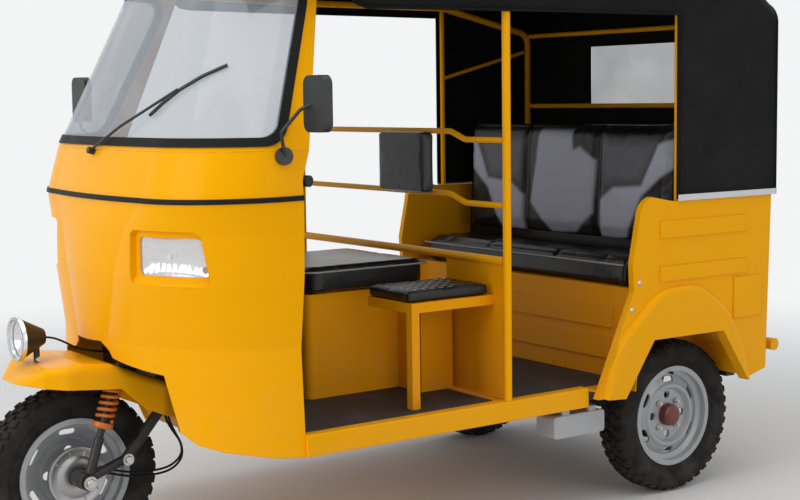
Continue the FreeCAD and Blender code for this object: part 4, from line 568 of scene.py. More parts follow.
FINISHED_NODES = (
    (YELLOW, "front_cowl", "windscreen_frame", "side_sills", "cabin_frame", "partition_bars",
     "quarter_left", "quarter_right", "rear_panel", "rear_lid", "rear_bumper", "front_fender"),
    # Inner panels take the darker copy of the yellow: painted shade
    (SHADED_INNER_YELLOW, "floor_pan", "partition_panel", "driver_seat_base", "jump_seat_frame", "bench_base",
     "luggage_board"),
    (BLACK_ENAMEL, "bulkhead", "chassis_frame", "seat_back_panel", "exhaust", "rear_axle_arms",
     "rear_dampers", "front_fork", "brake_pedal"),
    (BLACK_MOULDING, "dashboard", "fender_lamp", "handlebar", "mirrors", "wiper"),
    (SEAL_RUBBER, "windscreen_seal", "cowl_strip", "brake_cables", "lamp_lead"),
    (TYRE_RUBBER, "front_tyre", "rear_left_tyre", "rear_right_tyre"),
    (SILVER_ENAMEL, "front_wheel", "rear_left_wheel", "rear_right_wheel"),
    (BLACK_VINYL, "driver_cushion", "jump_seat_cushion", "bench_cushion"),
    (LENS, "headlamp_lenses", "fender_lamp_lens"),
    (CHROME, "headlamp_reflectors"), (SCREEN, "windscreen_glass"), (MAT_RUBBER, "floor_mats"),
    (RED_LENS, "tail_lamps"), (FILM, "rear_window"), (TRIM, "canopy_strips"), (CASTING, "engine_block"),
    (GREY_MOULDING, "under_floor_box"), (COPPER_ENAMEL, "front_spring"), (MIRROR, "mirror_glasses"),
    (CANVAS, "canopy"), (DARK_VINYL, "driver_backrest"), (BENCH_VINYL, "bench_backrest"),
)


def paint_nodes():
    """Give every carried-over node its finish."""
    for finish, *names in FINISHED_NODES:
        for name in names:
            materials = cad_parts[name].data.materials
            materials.clear()
            materials.append(finish)


paint_nodes()
for cord in cords:
    cord.data.materials.append(SEAL_RUBBER)


# New pieces

def finished(name, sheet, finish, body, nodes=(), sharp=35):
    """Make a piece of a bmesh: smooth but for its sharp edges, riding on a body."""
    data = bpy.data.meshes.new(name)
    sheet.to_mesh(data)
    sheet.free()
    data.shade_smooth()
    data.set_sharp_from_angle(angle=math.radians(sharp))
    data.materials.append(finish)
    return declared(placed(name, data), body, nodes)


def edges_of(made):
    """The edges round what an operator has made."""
    return list({edge for vert in made["verts"] for edge in vert.link_edges})


def turned(sheet, profile, centre, axis, steps, closed=False):
    """Spin a profile of (distance along the axis, radius) round an axis."""
    side = axis.orthogonal().normalized()
    line = [sheet.verts.new(centre + axis * along + side * radius) for along, radius in profile]
    pairs = list(zip(line, line[1:])) + ([(line[-1], line[0])] if closed else [])
    edges = [sheet.edges.new(pair) for pair in pairs]
    bmesh.ops.spin(sheet, geom=line + edges, cent=centre, axis=axis, angle=2 * math.pi, steps=steps,
                   use_merge=True)
    bmesh.ops.remove_doubles(sheet, verts=sheet.verts, dist=1e-6)
    bmesh.ops.recalc_face_normals(sheet, faces=sheet.faces)


def chunk(sheet, size, bevel, place):
    """A block with rounded edges, put in place by a matrix."""
    made = bmesh.ops.create_cube(sheet, size=1, matrix=place @ Matrix.Diagonal((*size, 1)))
    bmesh.ops.bevel(sheet, geom=edges_of(made), affect="EDGES", offset=bevel, segments=1, profile=0.5,
                    material=-1)


def hexagon(sheet, across, height, place):
    """Nut or bolt head with chamfered corners, its base at the place's origin."""
    made = bmesh.ops.create_cone(sheet, cap_ends=True, segments=6, radius1=across / 2,
                                 radius2=across / 2, depth=height,
                                 matrix=place @ Matrix.Translation((0, 0, height / 2)))
    bmesh.ops.bevel(sheet, geom=edges_of(made), affect="EDGES", offset=across * 0.05, segments=1,
                    profile=0.5, material=-1)


def facing(place, axis):
    """Matrix that stands a piece's own Z along an axis at a place."""
    return Matrix.Translation(place) @ axis.to_track_quat("Z", "Y").to_matrix().to_4x4()


# Tyres and wheels

# Half section of a tyre's outside: across from its middle, radius
TYRE_SIDE = (
    (0.0395, 0.1555), (0.0415, 0.1690), (0.0475, 0.1745), (0.0560, 0.1850), (0.0575, 0.1862),
    (0.0590, 0.1925), (0.0608, 0.2080), (0.0616, 0.2090), (0.0612, 0.2200), (0.0580, 0.2330),
    (0.0520, 0.2415), (0.0420, 0.2465), (0.0200, 0.2485))
PITCHES = 42
# Rows of tread blocks: across, radius, tilt, start in pitches, size
TREAD_ROWS = (
    (0.0125, 0.2503, 0.0, 0.0, (0.0195, 0.0245, 0.0105)),
    (-0.0125, 0.2503, 0.0, 0.5, (0.0195, 0.0245, 0.0105)),
    (0.0395, 0.2462, 0.30, 0.25, (0.0260, 0.0225, 0.0125)),
    (-0.0395, 0.2462, -0.30, 0.75, (0.0260, 0.0225, 0.0125)))
SKEW = 0.22

# Profiles of a wheel's fittings: distance outwards, radius
HUB_CAP = ((0.0142, 0.0380), (0.0265, 0.0378), (0.0400, 0.0350), (0.0447, 0.0280), (0.0462, 0.0140),
           (0.0466, 0))
STUD = ((0.008, 0.0058), (0.0165, 0.0056), (0.0172, 0.0046), (0.0172, 0))
VALVE = ((0, 0.0048), (0.010, 0.0048), (0.011, 0.0036), (0.024, 0.0036), (0.0245, 0.0046),
         (0.031, 0.0044), (0.032, 0))
NUT_CIRCLE = 0.057
NUT_SEAT = HUB_CAP[0][0]

# Each wheel's middle, and which way its outside faces
WHEELS = {"front": (Vector((0, AXLE_Y, AXLE_Z)), -1),
          "rear_left": (Vector((HALF_TRACK, REAR_AXLE_Y, AXLE_Z)), 1),
          "rear_right": (Vector((-HALF_TRACK, REAR_AXLE_Y, AXLE_Z)), -1)}


def make_tyre(place, centre):
    """Carcass spun round the axle, with bevelled tread blocks in four rows."""
    sheet = bmesh.new()
    profile = list(TYRE_SIDE) + [(-across, radius) for across, radius in reversed(TYRE_SIDE)]
    turned(sheet, profile, centre, X, 96, closed=True)
    for pitch in range(PITCHES):
        for across, radius, tilt, shift, size in TREAD_ROWS:
            turn = Matrix.Rotation(2 * math.pi * (pitch + shift) / PITCHES, 4, "X")
            skew = Matrix.Rotation(math.copysign(SKEW, across), 4, "Z")
            lean = Matrix.Rotation(tilt, 4, "Y")
            out = Matrix.Translation((across, 0, radius))
            chunk(sheet, size, 0.0016, Matrix.Translation(centre) @ turn @ out @ lean @ skew)
    finished(place + "_tyre_tread", sheet, TYRE_RUBBER, place + "_wheel",
             (place + "_tyre",))


def make_wheel_fittings(body, centre, out):
    """Hub cap in dark primer, wheel nuts and tyre valve."""
    cap = bmesh.new()
    turned(cap, HUB_CAP, centre, out, 48)
    finished(body + "_cap", cap, HUB_PAINT, body)
    nuts = bmesh.new()
    for turn in range(4):
        angle = math.radians(45 + 90 * turn)
        spot = centre + out * NUT_SEAT + (Y * math.cos(angle) + Z * math.sin(angle)) * NUT_CIRCLE
        hexagon(nuts, 0.0215, 0.009, facing(spot, out))
        turned(nuts, STUD, spot, out, 12)
    finished(body + "_nuts", nuts, BOLT_ZINC, body)
    valve = bmesh.new()
    turned(valve, VALVE, centre + out * 0.030 + Z * 0.149 - Y * 0.02, out, 12)
    finished(body + "_valve", valve, SEAL_RUBBER, body)


# Front suspension

LOWER_CUP = ((0.1565, 0.0112), (0.1565, 0.0260), (0.1600, 0.0296), (0.1700, 0.0302), (0.1735, 0.0290),
             (0.1735, 0.0112))
COIL_TURNS = 6
COIL_STEPS = 30 * COIL_TURNS
COIL_RADIUS = 0.0232
COIL_WIRE = 0.0050
COIL_FOOT = 0.1795


def make_front_strut():
    """Black damper from the axle up, with the copper-painted spring and its cups round it."""
    axle = on_vehicle(130, 0, 256)
    top = on_vehicle(130, 96, 551.5)
    lean = (top - axle).normalized()
    reach = (top - axle).length
    end = reach - 0.001
    damper = bmesh.new()
    turned(damper, ((0.0243, 0), (0.0243, 0.0140), (0.040, 0.0150), (0.044, 0.0138), (0.128, 0.0138),
                    (0.130, 0.0105), (end, 0.0105), (end, 0)), axle, lean, 32)
    finished("front_damper", damper, BLACK_ENAMEL, "steering", ("front_spring",))
    cups = bmesh.new()
    turned(cups, LOWER_CUP, axle, lean, 40, closed=True)
    low, rim, high = reach - 0.016, reach - 0.009, reach - 0.002
    upper = ((low, 0.0108), (low, 0.0265), (rim, 0.0290), (high, 0.0285), (high, 0.0108))
    turned(cups, upper, axle, lean, 40, closed=True)
    finished("spring_cups", cups, COPPER_ENAMEL, "steering", ("front_spring",))
    coil = bmesh.new()
    side = lean.orthogonal().normalized()
    start = axle + lean * COIL_FOOT + side * COIL_RADIUS
    wire = bmesh.ops.create_circle(coil, cap_ends=False, segments=12, radius=COIL_WIRE,
                                   matrix=facing(start, lean.cross(side)))
    climb = (reach - 0.022 - COIL_FOOT) / COIL_STEPS
    bmesh.ops.spin(coil, geom=wire["verts"] + edges_of(wire), cent=axle, axis=lean,
                   angle=2 * math.pi * COIL_TURNS, steps=COIL_STEPS, dvec=lean * climb)
    bmesh.ops.holes_fill(coil, edges=[edge for edge in coil.edges if edge.is_boundary])
    bmesh.ops.recalc_face_normals(coil, faces=coil.faces)
    finished("front_coil", coil, COPPER_ENAMEL, "steering", ("front_spring",))
    bolts = bmesh.new()
    for spot, across in ((on_vehicle(151, 0, 256), 0.030), (on_vehicle(127.5, 128, 300), 0.026)):
        washer = across * 0.66
        turned(bolts, ((-0.002, washer), (0.0018, washer), (0.0018, 0)), spot, X, 24)
        hexagon(bolts, across, 0.012, facing(spot + X * 0.0016, X))
    finished("fork_bolts", bolts, BOLT_ZINC, "steering")


# Lamps

# The nose's round corner in plan: its centre across and along
CORNER_X = 0.170
CORNER_Y = -0.549
# The bowl on that corner: turn from dead ahead in degrees, height, radius of its rim, depth
BOWL_TURN = (14.6, 47.6)
BOWL_HEIGHT = (0.8495, 0.9605)
BOWL_RIM = 0.4060
BOWL_DEPTH = 0.0165
FLUTES = 12
LAMP_SHIELD = ((0, 0.0120), (0.0030, 0.0125), (0.0040, 0.0080), (0.0120, 0.0076), (0.0142, 0.0050),
               (0.0148, 0))
MARKER = ((0, 0.0125), (0.0060, 0.0120), (0.0110, 0.0085), (0.0128, 0))
# Section of the sill under the lens: height, radius
SILL = ((0.8240, 0.4090), (0.8240, 0.4262), (0.8290, 0.4262), (0.8400, 0.4190), (0.8525, 0.4100))


def lamp_point(side, turn, height, radius):
    """A place on the nose's round corner, in metres: turn in degrees from dead ahead."""
    angle = math.radians(turn)
    across = CORNER_X + radius * math.sin(angle)
    return Vector((side * across, CORNER_Y - radius * math.cos(angle), height))


def between(limits, share):
    """From the first limit at -1 to the second at 1."""
    low, high = limits
    return (low + high) / 2 + share * (high - low) / 2


def fluted_bowl(side):
    """Open dish with vertical flutes, a deeper round in its middle, and its own thickness."""
    bowl = bmesh.new()
    bmesh.ops.create_grid(bowl, x_segments=44, y_segments=20, size=1)
    for vert in bowl.verts:
        u, v = vert.co.x, vert.co.y
        wall = (1 - u ** 4) * (1 - v ** 4)
        dish = 0.5 * max(0.0, 1 - ((u + 0.15) ** 2 / 0.5 + v ** 2))
        flute = 0.06 * math.cos(u * FLUTES * math.pi)
        depth = BOWL_DEPTH * min(1.0, wall * (0.75 + flute) + dish * 0.4)
        vert.co = lamp_point(side, between(BOWL_TURN, u), between(BOWL_HEIGHT, v), BOWL_RIM - depth)
    bmesh.ops.recalc_face_normals(bowl, faces=bowl.faces)
    if sum(face.normal.y for face in bowl.faces) > 0:
        bmesh.ops.reverse_faces(bowl, faces=bowl.faces)
    bmesh.ops.solidify(bowl, geom=bowl.faces, thickness=0.0012)
    data = bpy.data.meshes.new("bowl")
    bowl.to_mesh(data)
    bowl.free()
    return data


def make_headlamps():
    """Pressed chrome bowl, a bulb shield and a small amber lamp in each corner."""
    bowls = bmesh.new()
    bulbs = bmesh.new()
    amber = bmesh.new()
    for side in (1, -1):
        data = fluted_bowl(side)
        bowls.from_mesh(data)
        bpy.data.meshes.remove(data)
        for sheet, profile, turn, height, radius in ((bulbs, LAMP_SHIELD, 28.5, 0.905, 0.3885),
                                                     (amber, MARKER, 44.2, 0.8690, 0.3905)):
            spot = lamp_point(side, turn, height, radius)
            ahead = (lamp_point(side, turn, height, 0.5) - spot).normalized()
            turned(sheet, profile, spot, ahead, 24)
    bmesh.ops.recalc_face_normals(bowls, faces=bowls.faces)
    finished("headlamp_bowls", bowls, CHROME, "body", ("headlamp_reflectors",), sharp=18)
    finished("headlamp_bulbs", bulbs, BULB, "body", ("headlamp_reflectors",))
    finished("headlamp_markers", amber, AMBER, "body", ("headlamp_reflectors",))


BRAKE_PLATE = (
    (0.0485, 0.0855), (0.0485, 0.0885), (0.0560, 0.0888), (0.0592, 0.0872), (0.0598, 0.0790),
    (0.0582, 0.0760), (0.0582, 0.0620), (0.0625, 0.0560), (0.0640, 0.0460), (0.0640, 0.0350),
    (0.0625, 0.0268), (0.0575, 0.0268), (0.0575, 0.0855))


def make_brake_plate():
    """Cast back plate of the front brake, stepped and ribbed, over its plain disc."""
    centre = WHEELS["front"][0]
    plate = bmesh.new()
    turned(plate, BRAKE_PLATE, centre, X, 64, closed=True)
    for rib in range(10):
        turn = Matrix.Rotation(2 * math.pi * (rib + 0.5) / 10, 4, "X")
        place = Matrix.Translation(centre + X * 0.0592) @ turn @ Matrix.Translation((0, 0, 0.0690))
        chunk(plate, (0.004, 0.0032, 0.018), 0.0008, place)
    finished("front_brake_plate", plate, PLATE_CASTING, "steering")


def make_body_screws():
    """Domed screws down the front flange of each rear side panel."""
    screws = bmesh.new()
    for side in (1, -1):
        for y, z in ((0.602, 0.733), (0.570, 0.648), (0.526, 0.552)):
            turned(screws, ((0.0, 0.0085), (0.0022, 0.0080), (0.0040, 0.0055), (0.0046, 0)),
                   Vector((side * 0.6398, y, z)), X * side, 16)
    finished("side_panel_screws", screws, BOLT_ZINC, "body")


def make_lamp_sills():
    """Sloped lower lip of each headlamp's recess, which runs round the nose's corner."""
    sills = bmesh.new()
    for side in (1, -1):
        rings = []
        for step in range(25):
            turn = 12.0 + 37.0 * step / 24
            ring = [sills.verts.new(lamp_point(side, turn, height, radius)) for height, radius in SILL]
            rings.append([sills.edges.new((a, b)) for a, b in zip(ring, ring[1:] + ring[:1])])
        for first, second in zip(rings, rings[1:]):
            bmesh.ops.bridge_loops(sills, edges=first + second)
    bmesh.ops.holes_fill(sills, edges=[edge for edge in sills.edges if edge.is_boundary])
    bmesh.ops.recalc_face_normals(sills, faces=sills.faces)
    finished("headlamp_sills", sills, YELLOW, "body")


# The round lamp on the mudguard: distance backwards from its glass, radius
BEZEL = (
    (0.0006, 0.0562), (-0.0006, 0.0585), (0.0002, 0.0615), (0.0040, 0.0632), (0.0125, 0.0634),
    (0.0140, 0.0622), (0.0140, 0.0612), (0.0052, 0.0612), (0.0052, 0.0562))
ROUND_BOWL = (
    (0.0055, 0.0560), (0.0150, 0.0505), (0.0260, 0.0390), (0.0345, 0.0200), (0.0362, 0.0070),
    (0.0300, 0.0068), (0.0230, 0.0060), (0.0215, 0))


def make_mudguard_lamp():
    """Chrome bezel and inner bowl of the round lamp, and the bolt of its foot."""
    face = on_vehicle(0, -148, 664)
    rim = bmesh.new()
    turned(rim, BEZEL, face, Y, 72, closed=True)
    finished("mudguard_lamp_bezel", rim, CHROME, "steering")
    bowl = bmesh.new()
    turned(bowl, ROUND_BOWL, face, Y, 48)
    finished("mudguard_lamp_bowl", bowl, CHROME, "steering")
    bolt = bmesh.new()
    hexagon(bolt, 0.017, 0.009, facing(on_vehicle(0, -86, 602.5) + X * 0.0088, X))
    finished("mudguard_lamp_bolt", bolt, BOLT_ZINC, "steering")


# Canopy

# Along the vehicle, half width, shoulder height, crown height
ROOF_LINES = (
    (-0.728, 0.472, 1.704, 1.728), (-0.219, 0.564, 1.730, 1.770), (0.107, 0.602, 1.740, 1.784),
    (0.769, 0.644, 1.738, 1.780), (1.160, 0.644, 1.692, 1.738), (1.243, 0.644, 1.630, 1.668))
FRONT_Y = ROOF_LINES[0][0]
BRIM_Y = -0.430
SIDE_Y = ROOF_LINES[3][0]
BACK_Y = ROOF_LINES[-1][0]
ROOF_CORNER = 0.070
ROOF_BOWS = (-0.728, -0.420, 0.107, 0.783, 1.219)
# Lower edges: the side curtains', the brim's and each side's valance
HEM = 0.991
BRIM = 1.6715
VALANCE = {1: 1.5805, -1: 1.6362}
CLOTH_GAUGE = 0.0022
# The rear window: half width, bottom and height over the hem
WINDOW_HALF = 0.268
WINDOW_SILL = 0.299
WINDOW_RISE = 0.224


def roof_at(y):
    """Half width, shoulder and crown of the canopy at a place along the vehicle."""
    y = min(max(y, FRONT_Y), BACK_Y)
    for first, last in zip(ROOF_LINES, ROOF_LINES[1:]):
        if y <= last[0]:
            share = (y - first[0]) / (last[0] - first[0])
            return [a + share * (b - a) for a, b in zip(first[1:], last[1:])]
    return ROOF_LINES[-1][1:]


def edge_height(side, y):
    """Lower edge of the canopy over the doorways and the screen."""
    share = min(max((-0.380 - y) / 0.060, 0.0), 1.0)
    share = share * share * (3 - 2 * share)
    return VALANCE[side] + share * (BRIM - VALANCE[side])


def on_side(half, shoulder, low, share):
    """Across and up on the side and its round corner; share counts from the lower edge."""
    start = low - (shoulder - ROOF_CORNER)
    if start > 0:
        start = ROOF_CORNER * math.asin(min(1.0, start / ROOF_CORNER))
    run = start + share * (ROOF_CORNER * math.pi / 2 - start)
    if run < 0:
        return half, shoulder - ROOF_CORNER + run
    angle = run / ROOF_CORNER
    return (half - ROOF_CORNER + ROOF_CORNER * math.cos(angle),
            shoulder - ROOF_CORNER + ROOF_CORNER * math.sin(angle))


def slack(x, y, along_girth, half):
    """How far the cloth hangs in between the bows, less its small outward folds."""
    sag = 0.0
    for first, last in zip(ROOF_BOWS, ROOF_BOWS[1:]):
        if first < y < last:
            sag = math.sin(math.pi * (y - first) / (last - first)) ** 2
    middle = min(max((half - 0.12 - abs(x)) / 0.1, 0.0), 1.0)
    fold = noise.noise(Vector((x * 3.1, y * 2.3, along_girth * 2.0)))
    crease = abs(noise.noise(Vector((x * 9.0 + 4.0, y * 5.5, along_girth * 6.0))))
    return 0.0045 * sag * middle - (0.0014 * (1 + fold) + 0.0030 * crease) * (0.3 + 0.7 * sag)


# Rows of the cloth's grid up a side, round its corner and over the roof
LOW_ROWS, SIDE_ROWS, TOP_ROWS = 14, 12, 30
GIRTH = 2 * (LOW_ROWS + SIDE_ROWS) + TOP_ROWS


def canopy_place(row, y):
    """Place of a row of the canopy's cloth: rows count from the left lower edge over the roof."""
    half, shoulder, crown = roof_at(y)
    side = 1 if row <= GIRTH / 2 else -1
    count = row if side > 0 else GIRTH - row
    edge = edge_height(side, y)
    if y > SIDE_Y - 0.001:
        edge = min(edge, shoulder - ROOF_CORNER - 0.015)
    if count <= LOW_ROWS:
        rise = HEM + (edge - HEM) * count / LOW_ROWS
        return Vector((side * half, y, rise)), Vector((side, 0, 0))
    if count <= LOW_ROWS + SIDE_ROWS:
        across, up = on_side(half, shoulder, edge, (count - LOW_ROWS) / SIDE_ROWS)
        middle = Vector((half - ROOF_CORNER, 0, shoulder - ROOF_CORNER))
        out = (Vector((across, 0, up)) - middle).normalized() if up > middle.z else X
        return Vector((side * across, y, up)), Vector((side * out.x, 0, out.z))
    share = (row - LOW_ROWS - SIDE_ROWS) / TOP_ROWS
    reach = half - ROOF_CORNER
    across = reach * (1 - 2 * share)
    return Vector((across, y, crown - (crown - shoulder) * (across / reach) ** 2)), Z


def sewn_cloth(name, size, locate, weave_at, left_out, outwards):
    """Sheet of canvas: a grid put in place vertex by vertex, less its openings, thickened inwards."""
    sheet = bmesh.new()
    bmesh.ops.create_grid(sheet, x_segments=size[0], y_segments=size[1], size=1)
    weave = sheet.loops.layers.uv.new("weave")
    spots = {}
    for vert in sheet.verts:
        spots[vert] = (round((vert.co.x + 1) / 2 * size[0]), round((vert.co.y + 1) / 2 * size[1]))
    for vert, spot in spots.items():
        vert.co = locate(*spot)
    gap = []
    for face in sheet.faces:
        for loop in face.loops:
            loop[weave].uv = weave_at(loop.vert.co, *spots[loop.vert])
        corners = [spots[vert] for vert in face.verts]
        if left_out([column for column, row in corners], [row for column, row in corners]):
            gap.append(face)
    bmesh.ops.delete(sheet, geom=gap, context="FACES")
    sheet.normal_update()
    if sum(face.normal.dot(outwards) * face.calc_area() for face in sheet.faces) < 0:
        bmesh.ops.reverse_faces(sheet, faces=sheet.faces)
    area = sum(face.calc_area() for face in sheet.faces)
    piece = finished(name, sheet, CANVAS, "body", ("canopy",), sharp=80)
    thick = piece.modifiers.new("cloth_gauge", "SOLIDIFY")
    thick.thickness = CLOTH_GAUGE
    thick.offset = -1


def make_canopy_roof(stations):
    """Roof and sides in one sheet over the bows, open at the doorways."""
    def locate(row, line):
        place, out = canopy_place(row, stations[line])
        return place - out * slack(place.x, place.y, place.z, roof_at(place.y)[0])

    def weave_at(place, row, line):
        return row * 0.040, stations[line]

    def doorway(rows, lines):
        ahead = min(stations[line] for line in lines) < SIDE_Y - 0.001
        return ahead and (max(rows) <= LOW_ROWS or min(rows) >= GIRTH - LOW_ROWS)

    sewn_cloth("canopy_roof", (GIRTH, len(stations) - 1), locate, weave_at, doorway, Z)


def make_canopy_back():
    """Back curtain, open at its window, that follows the roof's round corners."""
    half, shoulder, crown = roof_at(BACK_Y)
    reach = half - ROOF_CORNER
    outer = [WINDOW_HALF + (reach - WINDOW_HALF) * i / 4 for i in range(1, 5)]
    outer += [reach + ROOF_CORNER * math.sin(math.radians(15 * i)) for i in range(1, 7)]
    across = [-x for x in reversed(outer)] + [WINDOW_HALF * (i / 7 - 1) for i in range(15)] + outer
    ups = [WINDOW_SILL * i / 8 for i in range(8)]
    ups += [WINDOW_SILL + WINDOW_RISE * i / 6 for i in range(7)]
    window_top = HEM + ups[-1]
    rows_above = 5

    def locate(column, row):
        x = across[column]
        if abs(x) <= reach:
            top = crown - (crown - shoulder) * (x / reach) ** 2
        else:
            drop = math.sqrt(max(0.0, ROOF_CORNER ** 2 - (abs(x) - reach) ** 2))
            top = shoulder - ROOF_CORNER + drop
        if row < len(ups):
            z = HEM + ups[row]
        else:
            z = window_top + (top - window_top) * (row + 1 - len(ups)) / rows_above
        fold = 0.0035 * (1 + noise.noise(Vector((x * 4.2, 3.0, z * 3.0))))
        return Vector((x, BACK_Y - 0.0002 - fold * min(1.0, (top - z) * 8), z))

    def weave_at(place, column, row):
        return place.x, place.z

    def window(columns, rows):
        return 10 <= min(columns) and max(columns) <= 24 and 8 <= min(rows) and max(rows) <= 14

    size = (len(across) - 1, len(ups) - 1 + rows_above)
    sewn_cloth("canopy_back", size, locate, weave_at, window, Y)


def make_canopy():
    """The canopy's two sheets and the beads sewn along their edges."""
    stations = [FRONT_Y + (BRIM_Y - FRONT_Y) * i / 8 for i in range(8)]
    stations += [BRIM_Y + (SIDE_Y - BRIM_Y) * i / 34 for i in range(34)]
    stations += [SIDE_Y + (BACK_Y - SIDE_Y) * i / 15 for i in range(16)]
    make_canopy_roof(stations)
    make_canopy_back()
    rear_edge = [canopy_place(row, 1.2405)[0] for row in range(GIRTH + 1)]
    front_edge = [canopy_place(row, -0.7265)[0] for row in range(LOW_ROWS, GIRTH - LOW_ROWS + 1)]
    bead("rear_piping", rear_edge, 0.0032)
    bead("brim_piping", front_edge, 0.0040)
    for side, label in ((1, "left"), (-1, "right")):
        hem_row = LOW_ROWS if side > 0 else GIRTH - LOW_ROWS
        doorway = [y for y in stations if y <= SIDE_Y + 0.001]
        edge = [canopy_place(hem_row, y)[0] - X * side * 0.0012 for y in doorway]
        bead(label + "_valance_hem", edge, 0.0042)
        rise = VALANCE[side] - HEM
        edge = [Vector((side * 0.6425, SIDE_Y, HEM + rise * i / 10)) for i in range(11)]
        bead(label + "_curtain_hem", edge, 0.0036)


def bead(name, points, radius, finish=CANVAS):
    """Round piping sewn along an edge."""
    piece = round_line(name, points, radius, "POLY", 3, 4)
    piece.data.materials.append(finish)
    declared(piece, "body")


# Seats

STUFFING_FRAMES = 20


def stuffed(name, node, finish, shrink, cap, voxel, pressure=4.0, shape=None, paint=None):
    """Cushion blown up by the cloth solver from a slightly smaller copy of its solid."""
    source = bmesh.new()
    source.from_mesh(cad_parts[node].data)
    bmesh.ops.remove_doubles(source, verts=source.verts, dist=1e-5)
    low, high = (Vector(corner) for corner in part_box(node))
    middle = (low + high) / 2
    for vert in source.verts:
        for axis in range(3):
            size = high[axis] - low[axis]
            inner = size - 2 * shrink[axis]
            vert.co[axis] = middle[axis] + (vert.co[axis] - middle[axis]) * inner / size
    data = bpy.data.meshes.new(name)
    source.to_mesh(data)
    source.free()
    piece = placed(name, data)
    grid = piece.modifiers.new("even_mesh", "REMESH")
    grid.mode = "VOXEL"
    grid.voxel_size = voxel
    settle(piece)
    start = [vert.co.copy() for vert in piece.data.vertices]
    cloth = piece.modifiers.new("stuffing", "CLOTH")
    cloth.settings.use_pressure = True
    cloth.settings.uniform_pressure_force = pressure
    cloth.settings.effector_weights.gravity = 0
    cloth.settings.quality = 4
    scene = bpy.context.scene
    for step in range(1, STUFFING_FRAMES + 1):
        scene.frame_set(step)
    settle(piece)
    scene.frame_set(1)
    for vert, first in zip(piece.data.vertices, start):
        move = vert.co - first
        if move.length > cap:
            move *= cap / move.length
        place = first + move
        for axis in range(3):
            place[axis] = min(max(place[axis], low[axis]), high[axis])
        vert.co = shape(place, low, high) if shape else place
    # Per-vertex pale mask for the bench back: its inserts, partly painted highlight, and painted sheen
    if paint:
        shade = piece.data.attributes.new("insert_and_sheen", "FLOAT", "POINT")
        for vert, spot in zip(piece.data.vertices, shade.data):
            spot.value = paint(vert.co)
    finer = piece.modifiers.new("smooth_skin", "SUBSURF")
    finer.levels = 1
    finer.render_levels = 1
    piece.data.materials.clear()
    piece.data.materials.append(finish)
    piece.data.shade_smooth()
    declared(piece, "body", (node,))


def settle(piece):
    """Apply a piece's modifiers to its mesh."""
    bpy.context.view_layer.update()
    ready = piece.evaluated_get(bpy.context.evaluated_depsgraph_get())
    data = bpy.data.meshes.new_from_object(ready)
    piece.modifiers.clear()
    old = piece.data
    piece.data = data
    bpy.data.meshes.remove(old)


def dip(distance, width):
    """One in the middle of a seam, falling off smoothly to either side."""
    return math.exp(-(distance / width) ** 2)


QUILT_PITCH = 0.034


def quilted(place, low, high):
    """Rows of small dimples over the extra seat's top."""
    if place.z > high.z - 0.014:
        u = (place.x - low.x) * math.pi / QUILT_PITCH
        v = (place.y - low.y) * math.pi / QUILT_PITCH
        place.z -= 0.0035 * (math.cos(u) * math.cos(v)) ** 2
    return place


def bench_channels(place, low, high):
    """Sewn channels along and across the bench's cushion."""
    width = high.x - low.x
    if place.z > low.z + 0.05:
        for seam in (0.02, 0.335, 0.665, 0.98):
            place.z -= 0.007 * dip(place.x - low.x - seam * width, 0.010)
        place.z -= 0.005 * dip(place.y - (low.y + 0.045), 0.008)
    return place


# Outlines of the bench back's pale inserts, across and up: the middle one and the left one, then each
# side's faint grey patch, which is painted sheen
MIDDLE_INSERT = (
    (-0.120, 1.206), (0.052, 1.206), (0.066, 1.135), (0.100, 1.146), (0.180, 1.100), (0.172, 0.915),
    (0.085, 0.845), (-0.045, 0.832), (-0.160, 0.940), (-0.132, 1.100))
SIDE_INSERT = (
    (0.205, 0.812), (0.335, 0.840), (0.412, 0.985), (0.545, 1.090), (0.545, 1.182), (0.485, 1.162),
    (0.412, 1.020), (0.276, 1.010), (0.204, 0.962))
# Faint grey patch over each side's bulge: painted sheen, not a panel of its own
SIDE_PAD_SHEEN = ((0.230, 1.030), (0.400, 1.038), (0.470, 1.165), (0.215, 1.165))


def inside(outline, x, z, blur=0.006):
    """One inside an outline, nought outside, and a soft step over its edge."""
    within = False
    nearest = 1.0
    for (ax, az), (bx, bz) in zip(outline, outline[1:] + outline[:1]):
        if (az > z) != (bz > z) and x < (bx - ax) * (z - az) / (bz - az) + ax:
            within = not within
        run = (bx - ax) ** 2 + (bz - az) ** 2
        share = min(max(((x - ax) * (bx - ax) + (z - az) * (bz - az)) / run, 0.0), 1.0)
        nearest = min(nearest, math.hypot(x - ax - share * (bx - ax), z - az - share * (bz - az)))
    return min(max(0.5 + (nearest if within else -nearest) / (2 * blur), 0.0), 1.0)


def pale_inserts_and_sheen(place):
    """How pale the bench back is at a place on it: the inserts, partly painted highlight, and each
    side's painted sheen.
    """
    pale = max(inside(MIDDLE_INSERT, place.x, place.z), inside(SIDE_INSERT, abs(place.x), place.z))
    return max(pale, 0.22 * inside(SIDE_PAD_SHEEN, abs(place.x), place.z, 0.02))


def back_channels(place, low, high):
    """Panels of the bench's back: a roll along the top and seams round the two inserts."""
    dent = 0.008 * dip(place.z - (high.z - 0.030), 0.010)
    away = abs(place.x)
    dent += 0.012 * dip(away - 0.192, 0.016) + 0.007 * dip(away - (high.x - 0.030), 0.012)
    dent -= 0.004 * inside(MIDDLE_INSERT, place.x, place.z, 0.03)
    dent -= 0.004 * inside(SIDE_INSERT, away, place.z, 0.03)
    ripple = 0.003 * noise.noise(Vector((place.x * 7.0, 1.3, place.z * 9.0)))
    place.y += dent + ripple * dip(place.z - (low.z + 0.2), 0.2)
    return place


def driver_channels(place, low, high):
    """Seams along both sides and the front of the driver's seat."""
    if place.z > low.z + 0.045:
        right, left = place.x - (low.x + 0.035), place.x - (high.x - 0.035)
        place.z -= 0.004 * dip(left, 0.006) + 0.004 * dip(right, 0.006)
        place.z -= 0.003 * dip(place.y - (low.y + 0.035), 0.006)
    return place


